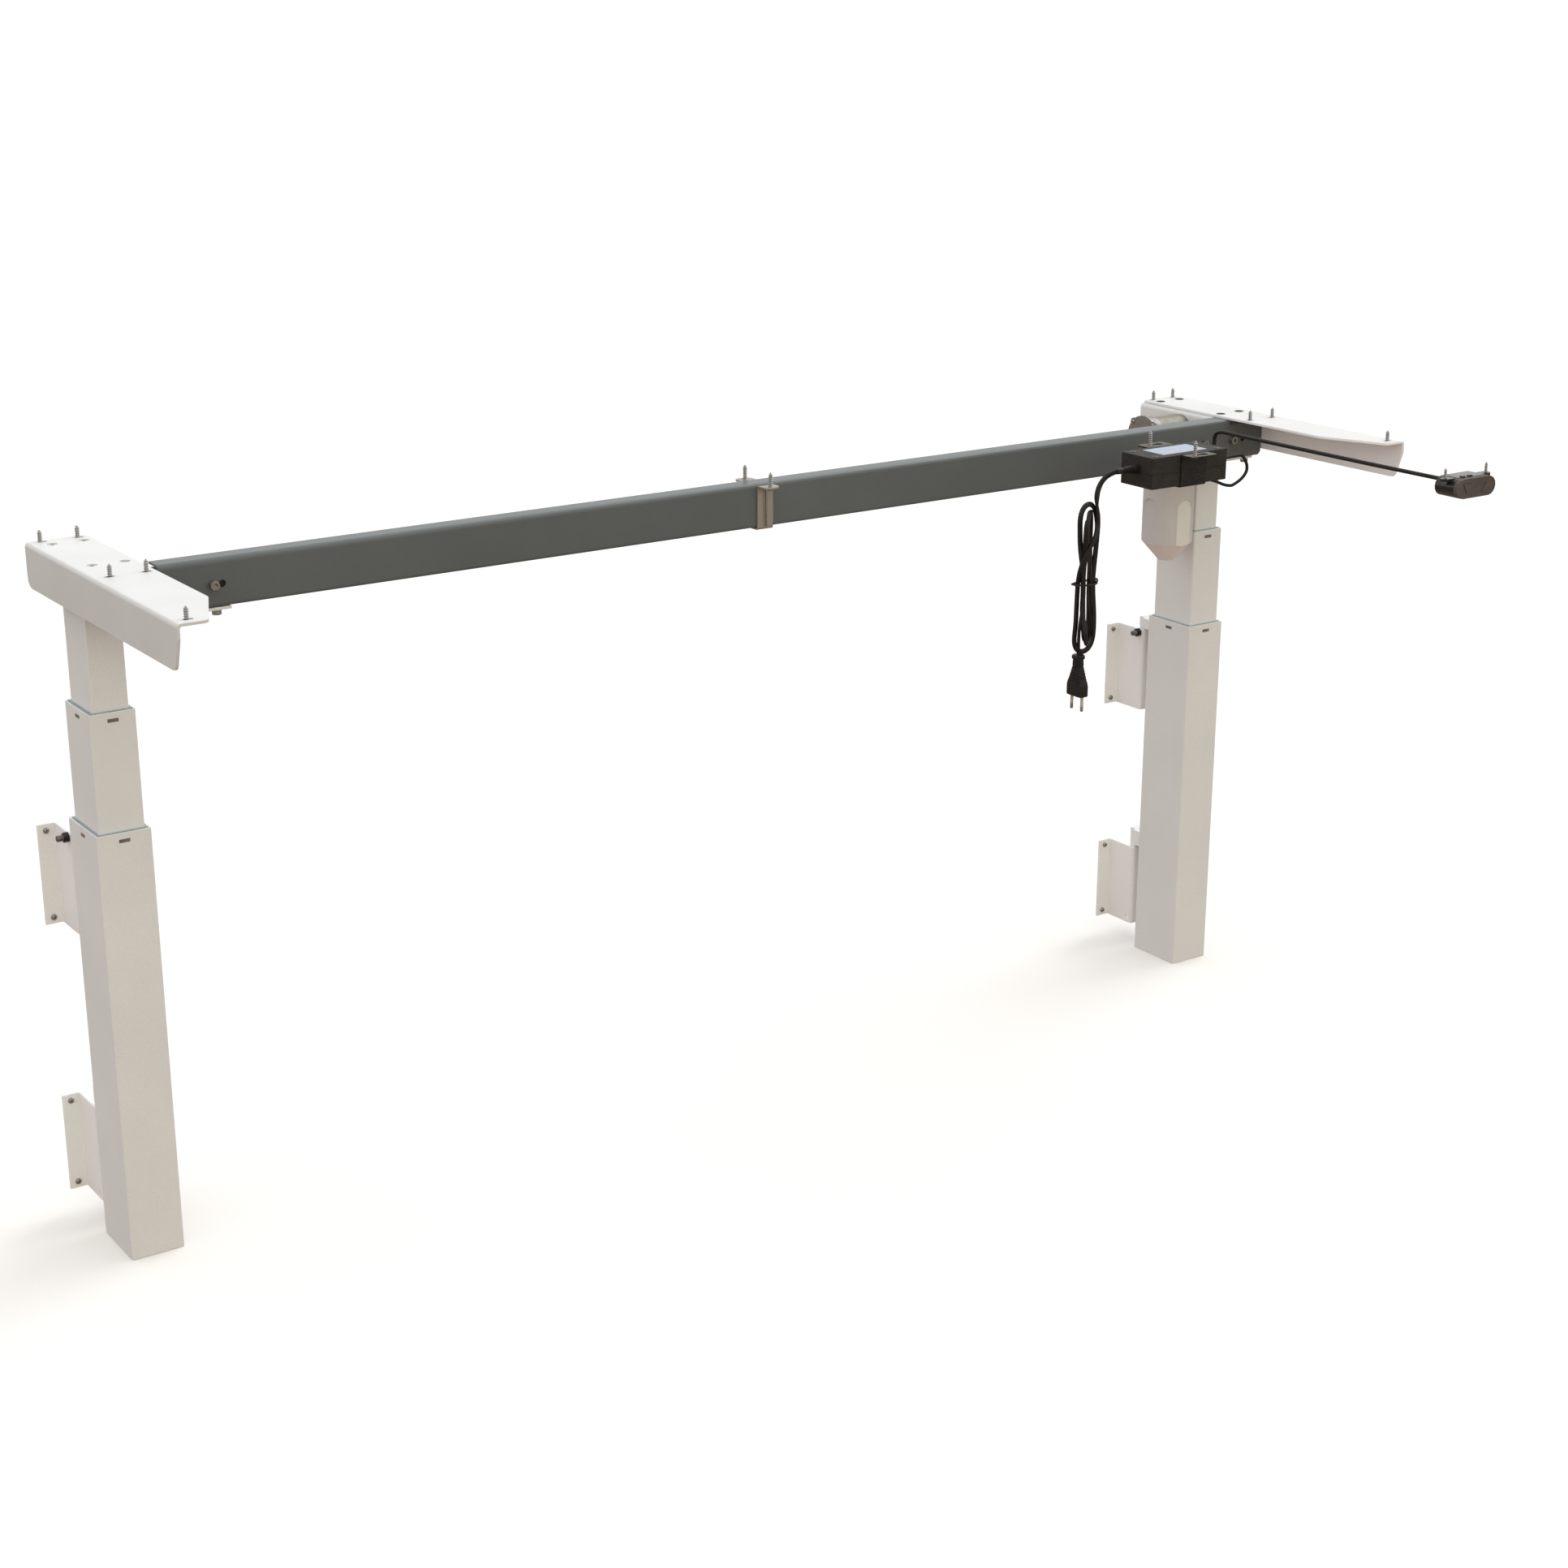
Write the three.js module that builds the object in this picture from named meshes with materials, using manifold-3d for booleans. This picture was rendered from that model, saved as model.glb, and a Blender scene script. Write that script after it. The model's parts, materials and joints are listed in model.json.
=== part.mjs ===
// A wall-hung, height-adjustable desk frame: two three-stage lifting columns that one worm-gear
// motor drives through a cross shaft, with a cross beam, side rails for the desktop, a control
// box, a mains lead, a handset and four wall brackets.
//
// Millimetres, +Z up. The origin is on the wall plane, on the floor, midway between the columns.
// +Y goes into the wall and +X goes towards the column that carries the gear motor.

import * as THREE from "three";
import { mergeVertices } from "three/addons/utils/BufferGeometryUtils.js";
import Module from "manifold-3d";

// ---------------------------------------------------------------------------
// Driving dimensions
// ---------------------------------------------------------------------------

const GAP = 0.3; // left between parts that touch
const OVER = 1; // how far a cutting tool runs past the face it cuts

const COLUMN_X = 760.8; // column axes from the middle
const COLUMN_Y = -109.7; // column axes from the wall

const OUTER_TUBE = { width: 60, depth: 82, wall: 2.5, low: 0, high: 486.5, radius: 3 };
const MIDDLE_TUBE = { width: 50, depth: 72, wall: 2, low: 80, high: 615.4, radius: 3 };
const INNER_TUBE = { width: 40, depth: 62, wall: 2, low: 145, high: 718.4, radius: 3 };
const FOOT_THICKNESS = 4;
const WINDOW = { width: 12, height: 4, below: 6.5 }; // glide windows, measured from the rim
const LUG_PLAY = 0.3;
const GLIDE = { length: 52, proud: 0.8 };

const BRACKET = { half: 24.1, flange: 19.2, height: 114.5, sheet: 3, bend: 3.5, front: 56.2 };
const BRACKET_LOWS = { upper: 346.5, lower: 28 };
const HOOK = { half: 24.5, low: -4, armLow: 117, armHigh: 131, armHalf: 23.5, lipHalf: 18.5 };
const LOWER_HOOK_HIGH = 140.9;
const BOLT_HEIGHT = 110; // lock bolt above the bottom of its bracket
const BOLT_Y = 64.7;
const FLANGE_HOLE = { x: 34, radius: 2.5, inset: 7.5 };

const HEAD = { inner: -27, outer: 34.2, low: 718.7, high: 773.2, front: -58.3, rear: 77.7 };
const HEAD_OUTER_WALL_LOW = 731;
const HEAD_PLATE_OUTER = 21.5;
const HEAD_SHEET = 3;
const HEAD_TONGUE = { inner: -16, front: -80.8 };
const HEAD_HOLE_RADIUS = { left: 1.8, right: 5.5 };
const SHAFT_Z = 744;

const RAIL = { width: 65.3, front: -440, rear: -30.5, top: 776.5, bottom: 729.3, sheet: 3 };
const RAIL_OUTER_FACE = { left: -798.3, right: 803 };
const RAIL_NOSE_WIDTH = 31.1; // width left at the front of the tapered top plate
const RAIL_TAPER_START = -357;
const RAIL_HOLES = [
  [20.8, -54.9],
  [54.4, -54.9],
  [20.8, -169.4],
  [54.4, -170.5],
];
const RAIL_SLOTS = [
  [16, -38.5],
  [55, -38.5],
  [17.5, -226.5],
  [55.5, -226],
  [16.5, -427],
];
const SLOT = { length: 10, width: 5 };

const BEAM = { left: -720.6, right: 740.6, front: -196.3, rear: -172.9, low: 722, high: 773.5 };
const BEAM_SHEET = 2.5;
const BEAM_EAR = { left: -793, right: 798.2, high: 767, chamfer: 4 };
const WEB_SCREWS = [
  ["beam_screw_1", -713.8],
  ["beam_screw_2", -663.4],
  ["beam_screw_3", 695.2],
  ["beam_screw_4", 745.3],
];
const WEB_SCREW_Z = 746.3;
const WEB_HOLES = [-653.3, 764.6];

const ADAPTER = { inner: -116.6, outer: 24, front: -195.2, wall: -170, mid: 720.2, high: 767 };
const CLAMP = { left: -0.8, right: 20.7, front: -216.5, rear: -147.5, mid: 770.5, sheet: 2 };

const MOTOR = { x: 695.7, y: -135.5, top: 712, low: 583, waist: 608.5, radius: 33.5, nose: 11 };
const MOTOR_WALL = 3.4;
const MOTOR_FLAT = { half: 11.8, low: 600, high: 668, depth: 2.5 };
const WORM = { radius: 7.4, low: 732, high: 750, pitch: 4.5, shaft: 3 };
const WHEEL = { teeth: 24, tip: 18.3, root: 16.4, low: -7, high: 9 };
const GEAR_HOUSING_RADIUS = 25;
const HEX_CORNER = 5.77; // 10 mm across flats

const BOX = { left: 471, right: 593, front: -346.5, rear: -289.5, low: 737, high: 775 };
const BOX_WALL = 2.5;
const BOX_SEAM = 754.5;
const STRAP = { left: 516, right: 556.5, front: -367.5, rear: -267.5, sheet: 1.8 };

const CORD_Y = -318.5;
const CORD_RADIUS = 2.9;
const GLAND = { x: BOX.left, z: 758.7, length: 33.8 };
const HANK = { x: 397.7, half: 20.5, depth: 25, low: 539, high: 723, radius: 10 };
const TIE_Z = 627;
const PLUG_X = 389.3;
const CABLE_RADIUS = { motor: 2, handset: 2.5 };

const HANDSET = { x: 707.2, z: 762.5, half: 32.7, radius: 11.5, front: -640, rear: -606 };
const HANDSET_BEZEL_REAR = -634.3;
const HANDSET_EAR = 34.6;

const SIDES = { left: -1, right: 1 };

// ---------------------------------------------------------------------------
// Materials
// ---------------------------------------------------------------------------

function material(color, roughness, metalness) {
  return new THREE.MeshStandardMaterial({ color, roughness, metalness, flatShading: true });
}

const WHITE_COAT = material(0xe9e7e2, 0.5, 0);
const BEAM_COAT = material(0x5c5f5a, 0.45, 0.1);
const ZINC = material(0xb4b7ba, 0.35, 0.9);
const GALVANISED = material(0x9a938a, 0.45, 0.8);
const BLACK_BOLT = material(0x2c2c2a, 0.45, 0.6);
const GLIDE_PLASTIC = material(0xbfd0dc, 0.5, 0);
const GEAR_STEEL = material(0x9d9c98, 0.35, 0.9);
const BRONZE = material(0xa98a55, 0.4, 0.9);
const HOUSING_METAL = material(0xb9b2a2, 0.35, 0.8);
const BLACK_PLASTIC = material(0x2b2825, 0.6, 0);
const BLACK_STEEL = material(0x2e2b28, 0.5, 0.3);
const CORD_RUBBER = material(0x1e1c1a, 0.55, 0);
const BEZEL_PLASTIC = material(0x3b3733, 0.45, 0);
const BOARD_GREEN = material(0x2d5a3d, 0.6, 0);

// ---------------------------------------------------------------------------
// Solids: joining and cutting
// ---------------------------------------------------------------------------

const wasm = await Module();
wasm.setup();

function toSolid(geometry) {
  const bare = geometry.clone();
  bare.deleteAttribute("normal");
  bare.deleteAttribute("uv");
  const merged = mergeVertices(bare);
  return new wasm.Manifold(
    new wasm.Mesh({
      numProp: 3,
      vertProperties: merged.attributes.position.array,
      triVerts: new Uint32Array(merged.index.array),
    })
  );
}

function toGeometry(solid) {
  const mesh = solid.getMesh();
  const geometry = new THREE.BufferGeometry();
  geometry.setAttribute("position", new THREE.BufferAttribute(mesh.vertProperties, 3));
  geometry.setIndex(new THREE.BufferAttribute(mesh.triVerts, 1));
  return geometry;
}

function combine(operation, base, tools) {
  let solid = toSolid(base);
  for (const tool of tools) {
    solid = solid[operation](toSolid(tool));
  }
  return toGeometry(solid);
}

const join = (base, ...tools) => combine("add", base, tools);
const cut = (base, ...tools) => combine("subtract", base, tools);
const common = (base, ...tools) => combine("intersect", base, tools);

// ---------------------------------------------------------------------------
// Outlines and prisms
// ---------------------------------------------------------------------------

// A closed outline through corners [x, y, radius], each rounded by its radius.
function outline(corners) {
  const points = [];
  corners.forEach(([x, y, radius = 0], i) => {
    const corner = new THREE.Vector2(x, y);
    if (radius === 0) {
      points.push(corner);
      return;
    }
    const before = corners[(i + corners.length - 1) % corners.length];
    const after = corners[(i + 1) % corners.length];
    const toBefore = new THREE.Vector2(before[0], before[1]).sub(corner).normalize();
    const toAfter = new THREE.Vector2(after[0], after[1]).sub(corner).normalize();
    const half = Math.acos(toBefore.dot(toAfter)) / 2;
    const reach = radius / Math.tan(half);
    const start = corner.clone().addScaledVector(toBefore, reach);
    const end = corner.clone().addScaledVector(toAfter, reach);
    points.push(...new THREE.QuadraticBezierCurve(start, corner, end).getPoints(3));
  });
  return new THREE.Shape(points);
}

function rectangle(x0, y0, x1, y1, radius = 0) {
  return outline([
    [x0, y0, radius],
    [x1, y0, radius],
    [x1, y1, radius],
    [x0, y1, radius],
  ]);
}

// The cross section of a bent sheet: a mid line with rounded corners, thickened to both sides.
function bentSheet(corners, thickness, bend, bendSteps = 3) {
  const line = corners.map(([x, y]) => new THREE.Vector2(x, y));
  const left = [];
  const right = [];
  const add = (point, heading) => {
    const normal = new THREE.Vector2(-heading.y, heading.x);
    left.push(point.clone().addScaledVector(normal, thickness / 2));
    right.unshift(point.clone().addScaledVector(normal, -thickness / 2));
  };
  line.forEach((corner, i) => {
    const into = corner.clone().sub(line[Math.max(i - 1, 0)]).normalize();
    const out = line[Math.min(i + 1, line.length - 1)].clone().sub(corner).normalize();
    if (i === 0 || i === line.length - 1) {
      add(corner, i === 0 ? out : into);
      return;
    }
    const turn = Math.atan2(into.cross(out), into.dot(out));
    const side = Math.sign(turn);
    const start = corner.clone().addScaledVector(into, -bend * Math.tan(Math.abs(turn) / 2));
    const centre = start.clone().add(new THREE.Vector2(-into.y, into.x).multiplyScalar(side * bend));
    for (let k = 0; k <= bendSteps; k += 1) {
      const angle = (turn * k) / bendSteps;
      const heading = into.clone().rotateAround(new THREE.Vector2(), angle);
      const normal = new THREE.Vector2(-heading.y, heading.x);
      add(centre.clone().addScaledVector(normal, -side * bend), heading);
    }
  });
  return new THREE.Shape([...left, ...right]);
}

const X_AXIS = new THREE.Vector3(1, 0, 0);
const Y_AXIS = new THREE.Vector3(0, 1, 0);
const Z_AXIS = new THREE.Vector3(0, 0, 1);
const MINUS_Y = new THREE.Vector3(0, -1, 0);

function extrude(shape, depth) {
  return new THREE.ExtrudeGeometry(shape, { depth, bevelEnabled: false, curveSegments: 4 });
}

// An outline in (x, y), from z = low to z = high.
function prismZ(shape, low, high) {
  return extrude(shape, high - low).translate(0, 0, low);
}

// An outline in (y, z), from x = low to x = high.
function prismX(shape, low, high) {
  const turned = extrude(shape, high - low);
  turned.applyMatrix4(new THREE.Matrix4().makeBasis(Y_AXIS, Z_AXIS, X_AXIS));
  return turned.translate(low, 0, 0);
}

// An outline in (x, z), from y = low to y = high.
function prismY(shape, low, high) {
  const turned = extrude(shape, high - low);
  turned.applyMatrix4(new THREE.Matrix4().makeBasis(X_AXIS, Z_AXIS, MINUS_Y));
  return turned.translate(0, high, 0);
}

function block(x0, x1, y0, y1, z0, z1) {
  const geometry = new THREE.BoxGeometry(x1 - x0, y1 - y0, z1 - z0);
  return geometry.translate((x0 + x1) / 2, (y0 + y1) / 2, (z0 + z1) / 2);
}

// A round (or, with few sides, a many-sided) bar between two points.
function rod(start, end, startRadius, endRadius = startRadius, sides = 12) {
  const from = new THREE.Vector3(...start);
  const along = new THREE.Vector3(...end).sub(from);
  const length = along.length();
  const geometry = new THREE.CylinderGeometry(endRadius, startRadius, length, sides);
  geometry.translate(0, length / 2, 0);
  geometry.applyQuaternion(new THREE.Quaternion().setFromUnitVectors(Y_AXIS, along.normalize()));
  return geometry.translate(from.x, from.y, from.z);
}

// A turned part: profile points [radius, z], starting and ending on the axis.
function turned(profile, sides) {
  const points = profile.map(([radius, z]) => new THREE.Vector2(radius, z));
  return new THREE.LatheGeometry(points, sides).rotateX(Math.PI / 2);
}

// A round cord along a smooth curve through the points.
function cord(points, radius, sides, steps) {
  const path = new THREE.CatmullRomCurve3(points.map((point) => new THREE.Vector3(...point)));
  const section = new THREE.Shape();
  section.absarc(0, 0, radius, 0, 2 * Math.PI);
  return new THREE.ExtrudeGeometry(section, {
    steps,
    curveSegments: sides / 2,
    bevelEnabled: false,
    extrudePath: path,
  });
}

function piece(name, geometry, finish) {
  const mesh = new THREE.Mesh(geometry, finish);
  mesh.name = name;
  return mesh;
}

// ---------------------------------------------------------------------------
// Columns. Each is built about its own axis: x = 0, y = 0. "Outward" is away from the middle
// of the frame, so an outward distance d lies at x = side * d.
// ---------------------------------------------------------------------------

function centredRectangle(width, depth, radius) {
  return rectangle(-width / 2, -depth / 2, width / 2, depth / 2, radius);
}

function windowCutters(tube) {
  const high = tube.high - WINDOW.below;
  const low = high - WINDOW.height;
  const half = WINDOW.width / 2;
  return [
    block(-tube.width, tube.width, -half, half, low, high),
    block(-half, half, -tube.depth, tube.depth, low, high),
  ];
}

function columnTube(tube, floor) {
  const body = prismZ(centredRectangle(tube.width, tube.depth, tube.radius), tube.low, tube.high);
  const inside = centredRectangle(tube.width - 2 * tube.wall, tube.depth - 2 * tube.wall, 1);
  const cavityLow = floor > 0 ? tube.low + floor : tube.low - OVER;
  return cut(body, prismZ(inside, cavityLow, tube.high + OVER), ...windowCutters(tube));
}

// The plastic collar in a tube's mouth, with a lug in each of the four windows.
function glide(tube, nextTube) {
  const outerWidth = tube.width - 2 * tube.wall - 2 * GAP;
  const outerDepth = tube.depth - 2 * tube.wall - 2 * GAP;
  const high = tube.high + GLIDE.proud;
  const low = high - GLIDE.length;
  const ring = prismZ(centredRectangle(outerWidth, outerDepth, 1), low, high);
  const bore = centredRectangle(nextTube.width + 2 * GAP, nextTube.depth + 2 * GAP, 2.5);
  const lugHigh = tube.high - WINDOW.below - LUG_PLAY;
  const lugLow = tube.high - WINDOW.below - WINDOW.height + LUG_PLAY;
  const half = WINDOW.width / 2 - LUG_PLAY;
  const reachX = tube.width / 2 - 0.5;
  const reachY = tube.depth / 2 - 0.5;
  const lugs = [
    block(-reachX, reachX, -half, half, lugLow, lugHigh),
    block(-half, half, -reachY, reachY, lugLow, lugHigh),
  ];
  return cut(join(ring, ...lugs), prismZ(bore, low - OVER, high + OVER));
}

// The hat-shaped bracket that is screwed to the wall.
function wallBracket(low, hasBolt) {
  const wall = -COLUMN_Y;
  const mid = BRACKET.sheet / 2;
  const web = BRACKET.half - mid;
  const edge = BRACKET.half + BRACKET.flange;
  const hat = bentSheet(
    [
      [-edge, wall - mid],
      [-web, wall - mid],
      [-web, BRACKET.front + mid],
      [web, BRACKET.front + mid],
      [web, wall - mid],
      [edge, wall - mid],
    ],
    BRACKET.sheet,
    BRACKET.bend
  );
  const high = low + BRACKET.height;
  const cutters = [];
  for (const x of [-FLANGE_HOLE.x, FLANGE_HOLE.x]) {
    for (const z of [low + FLANGE_HOLE.inset, high - FLANGE_HOLE.inset]) {
      cutters.push(rod([x, wall - 9, z], [x, wall + OVER, z], FLANGE_HOLE.radius));
    }
  }
  if (hasBolt) {
    const z = low + BOLT_HEIGHT;
    cutters.push(rod([-40, BOLT_Y, z], [40, BOLT_Y, z], 3.3));
  } else {
    cutters.push(prismX(rectangle(64.2, low + 2.5, 68.2, low + 10.5, 1.9), -40, 40));
  }
  return cut(prismZ(hat, low, high), ...cutters);
}

// The plate on the back of the column, with the arm and lip that hang behind the wall bracket.
function hookPlate(low, armLow, armHigh, hasBolt) {
  const back = OUTER_TUBE.depth / 2 + GAP;
  const plateRear = back + 2.7;
  const lipFront = BRACKET.front + BRACKET.sheet + 0.5;
  const face = outline([
    [-HOOK.half + 5, low + HOOK.low],
    [HOOK.half - 5, low + HOOK.low],
    [HOOK.half, low + HOOK.low + 5],
    [HOOK.half, low + armHigh, 2],
    [-HOOK.half, low + armHigh, 2],
    [-HOOK.half, low + HOOK.low + 5],
  ]);
  const plate = prismY(face, back, plateRear);
  const arm = block(
    -HOOK.armHalf, HOOK.armHalf,
    plateRear - OVER, lipFront,
    low + armLow, low + armHigh
  );
  const lip = block(
    -HOOK.lipHalf, HOOK.lipHalf,
    lipFront, 70.3,
    low + BOLT_HEIGHT - 8, low + armHigh
  );
  const hook = join(plate, arm, lip);
  if (!hasBolt) {
    return hook;
  }
  const z = low + BOLT_HEIGHT;
  return cut(hook, rod([-40, BOLT_Y, z], [40, BOLT_Y, z], 3.4));
}

// The bolt that locks the upper hook to its bracket, with its nut run on.
function lockBolt() {
  const z = BRACKET_LOWS.upper + BOLT_HEIGHT;
  const face = BRACKET.half + GAP;
  const at = (x) => [x, BOLT_Y, z];
  const nut = rod(at(-face - 5.4), at(-face), 5.8, undefined, 6);
  const head = rod(at(face), at(face + 4), 5.8, undefined, 6);
  return join(rod(at(-face - 12.5), at(face + 1), 3.2), nut, head);
}

// The welded bracket on top of the inner tube: a channel over a bottom plate, with a tongue
// that reaches forward over the beam adapter.
function headBracket(side, sideName) {
  const mid = HEAD_SHEET / 2;
  const channel = bentSheet(
    [
      [side * (HEAD.inner + mid), HEAD.low + mid],
      [side * (HEAD.inner + mid), HEAD.high - mid],
      [side * (HEAD.outer - mid), HEAD.high - mid],
      [side * (HEAD.outer - mid), HEAD_OUTER_WALL_LOW],
    ],
    HEAD_SHEET,
    4
  );
  const edges = [side * (HEAD.inner + 1), side * HEAD_PLATE_OUTER].sort((a, b) => a - b);
  const tongueEdges = [side * HEAD_TONGUE.inner, side * (HEAD.outer - 6)].sort((a, b) => a - b);
  const plate = block(edges[0], edges[1], HEAD.front, 45, HEAD.low, HEAD.low + HEAD_SHEET);
  const tongue = block(
    tongueEdges[0], tongueEdges[1],
    HEAD_TONGUE.front, HEAD.front + OVER,
    HEAD.high - HEAD_SHEET, HEAD.high
  );
  const cutters = [
    rod([0, 0, HEAD.low - OVER], [0, 0, HEAD.low + 5], 11),
    rod([side * (HEAD.inner - OVER), 0, SHAFT_Z], [side * (HEAD.inner + 5), 0, SHAFT_Z], 8),
  ];
  const topHole = (x, y, radius) =>
    rod([x, y, HEAD.high - 6], [x, y, HEAD.high + OVER], radius);
  const faceX = RAIL_OUTER_FACE[sideName] - side * COLUMN_X;
  for (const [inset, y] of RAIL_HOLES) {
    cutters.push(topHole(faceX - side * inset, y - COLUMN_Y, HEAD_HOLE_RADIUS[sideName]));
  }
  for (const [inset, y] of RAIL_SLOTS.slice(0, 2)) {
    cutters.push(topHole(faceX - side * inset, y - COLUMN_Y, 3));
  }
  return cut(join(prismY(channel, HEAD.front, HEAD.rear), plate, tongue), ...cutters);
}

// The angle that carries the end of the cross beam.
function beamAdapter(side) {
  const front = ADAPTER.front - COLUMN_Y;
  const wall = ADAPTER.wall - COLUMN_Y;
  const angle = bentSheet([[front, ADAPTER.mid], [wall, ADAPTER.mid], [wall, ADAPTER.high]], 3, 3);
  const edges = [side * ADAPTER.inner, side * ADAPTER.outer].sort((a, b) => a - b);
  const holes = WEB_SCREWS.map(([, x]) => x - side * COLUMN_X)
    .filter((x) => x > edges[0] && x < edges[1])
    .map((x) => rod([x, wall - 5, WEB_SCREW_Z], [x, wall + 5, WEB_SCREW_Z], 3.3));
  return cut(prismX(angle, edges[0], edges[1]), ...holes);
}

// Cone of a plain bevel gear: its small end is nearest the meeting point of the two axes.
const BEVEL = { near: 8, far: 16, back: 21, hub: 13, play: 0.5 };

function spindleBevel() {
  const z = (distance) => [0, 0, SHAFT_Z - distance];
  const cone = rod(z(BEVEL.far), z(BEVEL.near), BEVEL.far - BEVEL.play, BEVEL.near - BEVEL.play, 20);
  const hub = rod(z(BEVEL.back), z(BEVEL.far - 0.5), BEVEL.hub, undefined, 20);
  return cut(join(cone, hub), rod(z(BEVEL.back + OVER), z(BEVEL.near - OVER), 6.8));
}

function buildColumn(sideName) {
  const side = SIDES[sideName];
  const column = new THREE.Group();
  column.position.set(side * COLUMN_X, COLUMN_Y, 0);
  const add = (name, geometry, finish) => column.add(piece(`${sideName}_${name}`, geometry, finish));

  add("outer_tube", columnTube(OUTER_TUBE, FOOT_THICKNESS), WHITE_COAT);
  add("middle_tube", columnTube(MIDDLE_TUBE, 0), WHITE_COAT);
  const innerBody = centredRectangle(INNER_TUBE.width, INNER_TUBE.depth, INNER_TUBE.radius);
  innerBody.holes.push(centredRectangle(INNER_TUBE.width - 4, INNER_TUBE.depth - 4, 1));
  add("inner_tube", prismZ(innerBody, INNER_TUBE.low, INNER_TUBE.high), WHITE_COAT);
  add("outer_glide", glide(OUTER_TUBE, MIDDLE_TUBE), GLIDE_PLASTIC);
  add("middle_glide", glide(MIDDLE_TUBE, INNER_TUBE), GLIDE_PLASTIC);
  add("head_bracket", headBracket(side, sideName), WHITE_COAT);
  add("beam_adapter", beamAdapter(side), WHITE_COAT);
  add("spindle", rod([0, 0, 150], [0, 0, 737], 6.5), GEAR_STEEL);
  add("bevel_gear", spindleBevel(), GEAR_STEEL);

  const upper = BRACKET_LOWS.upper;
  const lower = BRACKET_LOWS.lower;
  add("upper_wall_bracket", wallBracket(upper, true), WHITE_COAT);
  add("lower_wall_bracket", wallBracket(lower, false), WHITE_COAT);
  add("upper_hook", hookPlate(upper, HOOK.armLow, HOOK.armHigh, true), WHITE_COAT);
  add("lower_hook", hookPlate(lower, HOOK.armLow + 2.5, LOWER_HOOK_HIGH, false), WHITE_COAT);
  add("lock_bolt", lockBolt(), BLACK_BOLT);
  return column;
}

// ---------------------------------------------------------------------------
// Side rails: an L profile with a tapered nose, rounded corners and screw slots
// ---------------------------------------------------------------------------

function sideRail(sideName) {
  const side = SIDES[sideName];
  const face = RAIL_OUTER_FACE[sideName];
  const x = (inset) => face - side * inset;
  const mid = RAIL.sheet / 2;
  const profile = bentSheet(
    [[x(mid), RAIL.bottom], [x(mid), RAIL.top - mid], [x(RAIL.width), RAIL.top - mid]],
    RAIL.sheet,
    3.5
  );
  const topView = outline([
    [x(-OVER), RAIL.front],
    [x(RAIL_NOSE_WIDTH), RAIL.front, 7],
    [x(RAIL.width), RAIL_TAPER_START, 14],
    [x(RAIL.width), RAIL.rear, 8],
    [x(-OVER), RAIL.rear],
  ]);
  const sideView = outline([
    [RAIL.front, RAIL.top + OVER],
    [RAIL.front, 762, 8],
    [RAIL.front + 11, RAIL.bottom, 9],
    [RAIL.rear, RAIL.bottom, 12],
    [RAIL.rear, RAIL.top + OVER],
  ]);
  const edges = [x(-OVER), x(RAIL.width + OVER)].sort((a, b) => a - b);
  const cutters = RAIL_HOLES.map(([inset, y]) =>
    rod([x(inset), y, RAIL.top - 6], [x(inset), y, RAIL.top + OVER], 5.5)
  );
  for (const [inset, y] of RAIL_SLOTS) {
    const half = SLOT.length / 2;
    const slot = rectangle(
      x(inset) - half, y - SLOT.width / 2,
      x(inset) + half, y + SLOT.width / 2,
      SLOT.width / 2 - 0.1
    );
    cutters.push(prismZ(slot, RAIL.top - 6, RAIL.top + OVER));
  }
  const shaped = common(
    prismY(profile, RAIL.front, RAIL.rear),
    prismZ(topView, RAIL.bottom - OVER, RAIL.top + OVER),
    prismX(sideView, edges[0], edges[1])
  );
  return piece(`${sideName}_side_rail`, cut(shaped, ...cutters), WHITE_COAT);
}

// ---------------------------------------------------------------------------
// Cross beam, its screws and the clamp in the middle
// ---------------------------------------------------------------------------

function crossBeam() {
  const mid = BEAM_SHEET / 2;
  const web = BEAM.front + mid;
  const channel = bentSheet(
    [[BEAM.rear, BEAM.low + mid], [web, BEAM.low + mid], [web, BEAM.high - mid], [BEAM.rear, BEAM.high - mid]],
    BEAM_SHEET,
    3
  );
  const leftEar = outline([
    [BEAM_EAR.left, BEAM.low + BEAM_EAR.chamfer],
    [BEAM_EAR.left + BEAM_EAR.chamfer, BEAM.low],
    [BEAM.left + OVER, BEAM.low],
    [BEAM.left + OVER, BEAM_EAR.high],
    [BEAM_EAR.left, BEAM_EAR.high],
  ]);
  const rightEar = outline([
    [BEAM.right - OVER, BEAM.low],
    [BEAM_EAR.right - BEAM_EAR.chamfer, BEAM.low],
    [BEAM_EAR.right, BEAM.low + BEAM_EAR.chamfer],
    [BEAM_EAR.right, BEAM_EAR.high],
    [BEAM.right - OVER, BEAM_EAR.high],
  ]);
  const ears = [leftEar, rightEar].map((ear) => prismY(ear, BEAM.front, BEAM.front + BEAM_SHEET));
  const hole = (x, radius) =>
    rod([x, BEAM.front - OVER, WEB_SCREW_Z], [x, BEAM.front + 5, WEB_SCREW_Z], radius);
  const cutters = [
    ...WEB_SCREWS.map(([, x]) => hole(x, 3.3)),
    ...WEB_HOLES.map((x) => hole(x, 4)),
  ];
  const body = join(prismX(channel, BEAM.left, BEAM.right), ...ears);
  return piece("cross_beam", cut(body, ...cutters), BEAM_COAT);
}

function webScrew(name, x) {
  const face = BEAM.front - GAP;
  const at = (y) => [x, y, WEB_SCREW_Z];
  const head = rod(at(face - 6), at(face), 5, undefined, 16);
  const socket = rod(at(face - 7), at(face - 3), 2.9, undefined, 6);
  const shank = rod(at(face - 1), at(-158.5), 3);
  return piece(name, cut(join(shank, head), socket), ZINC);
}

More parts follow.
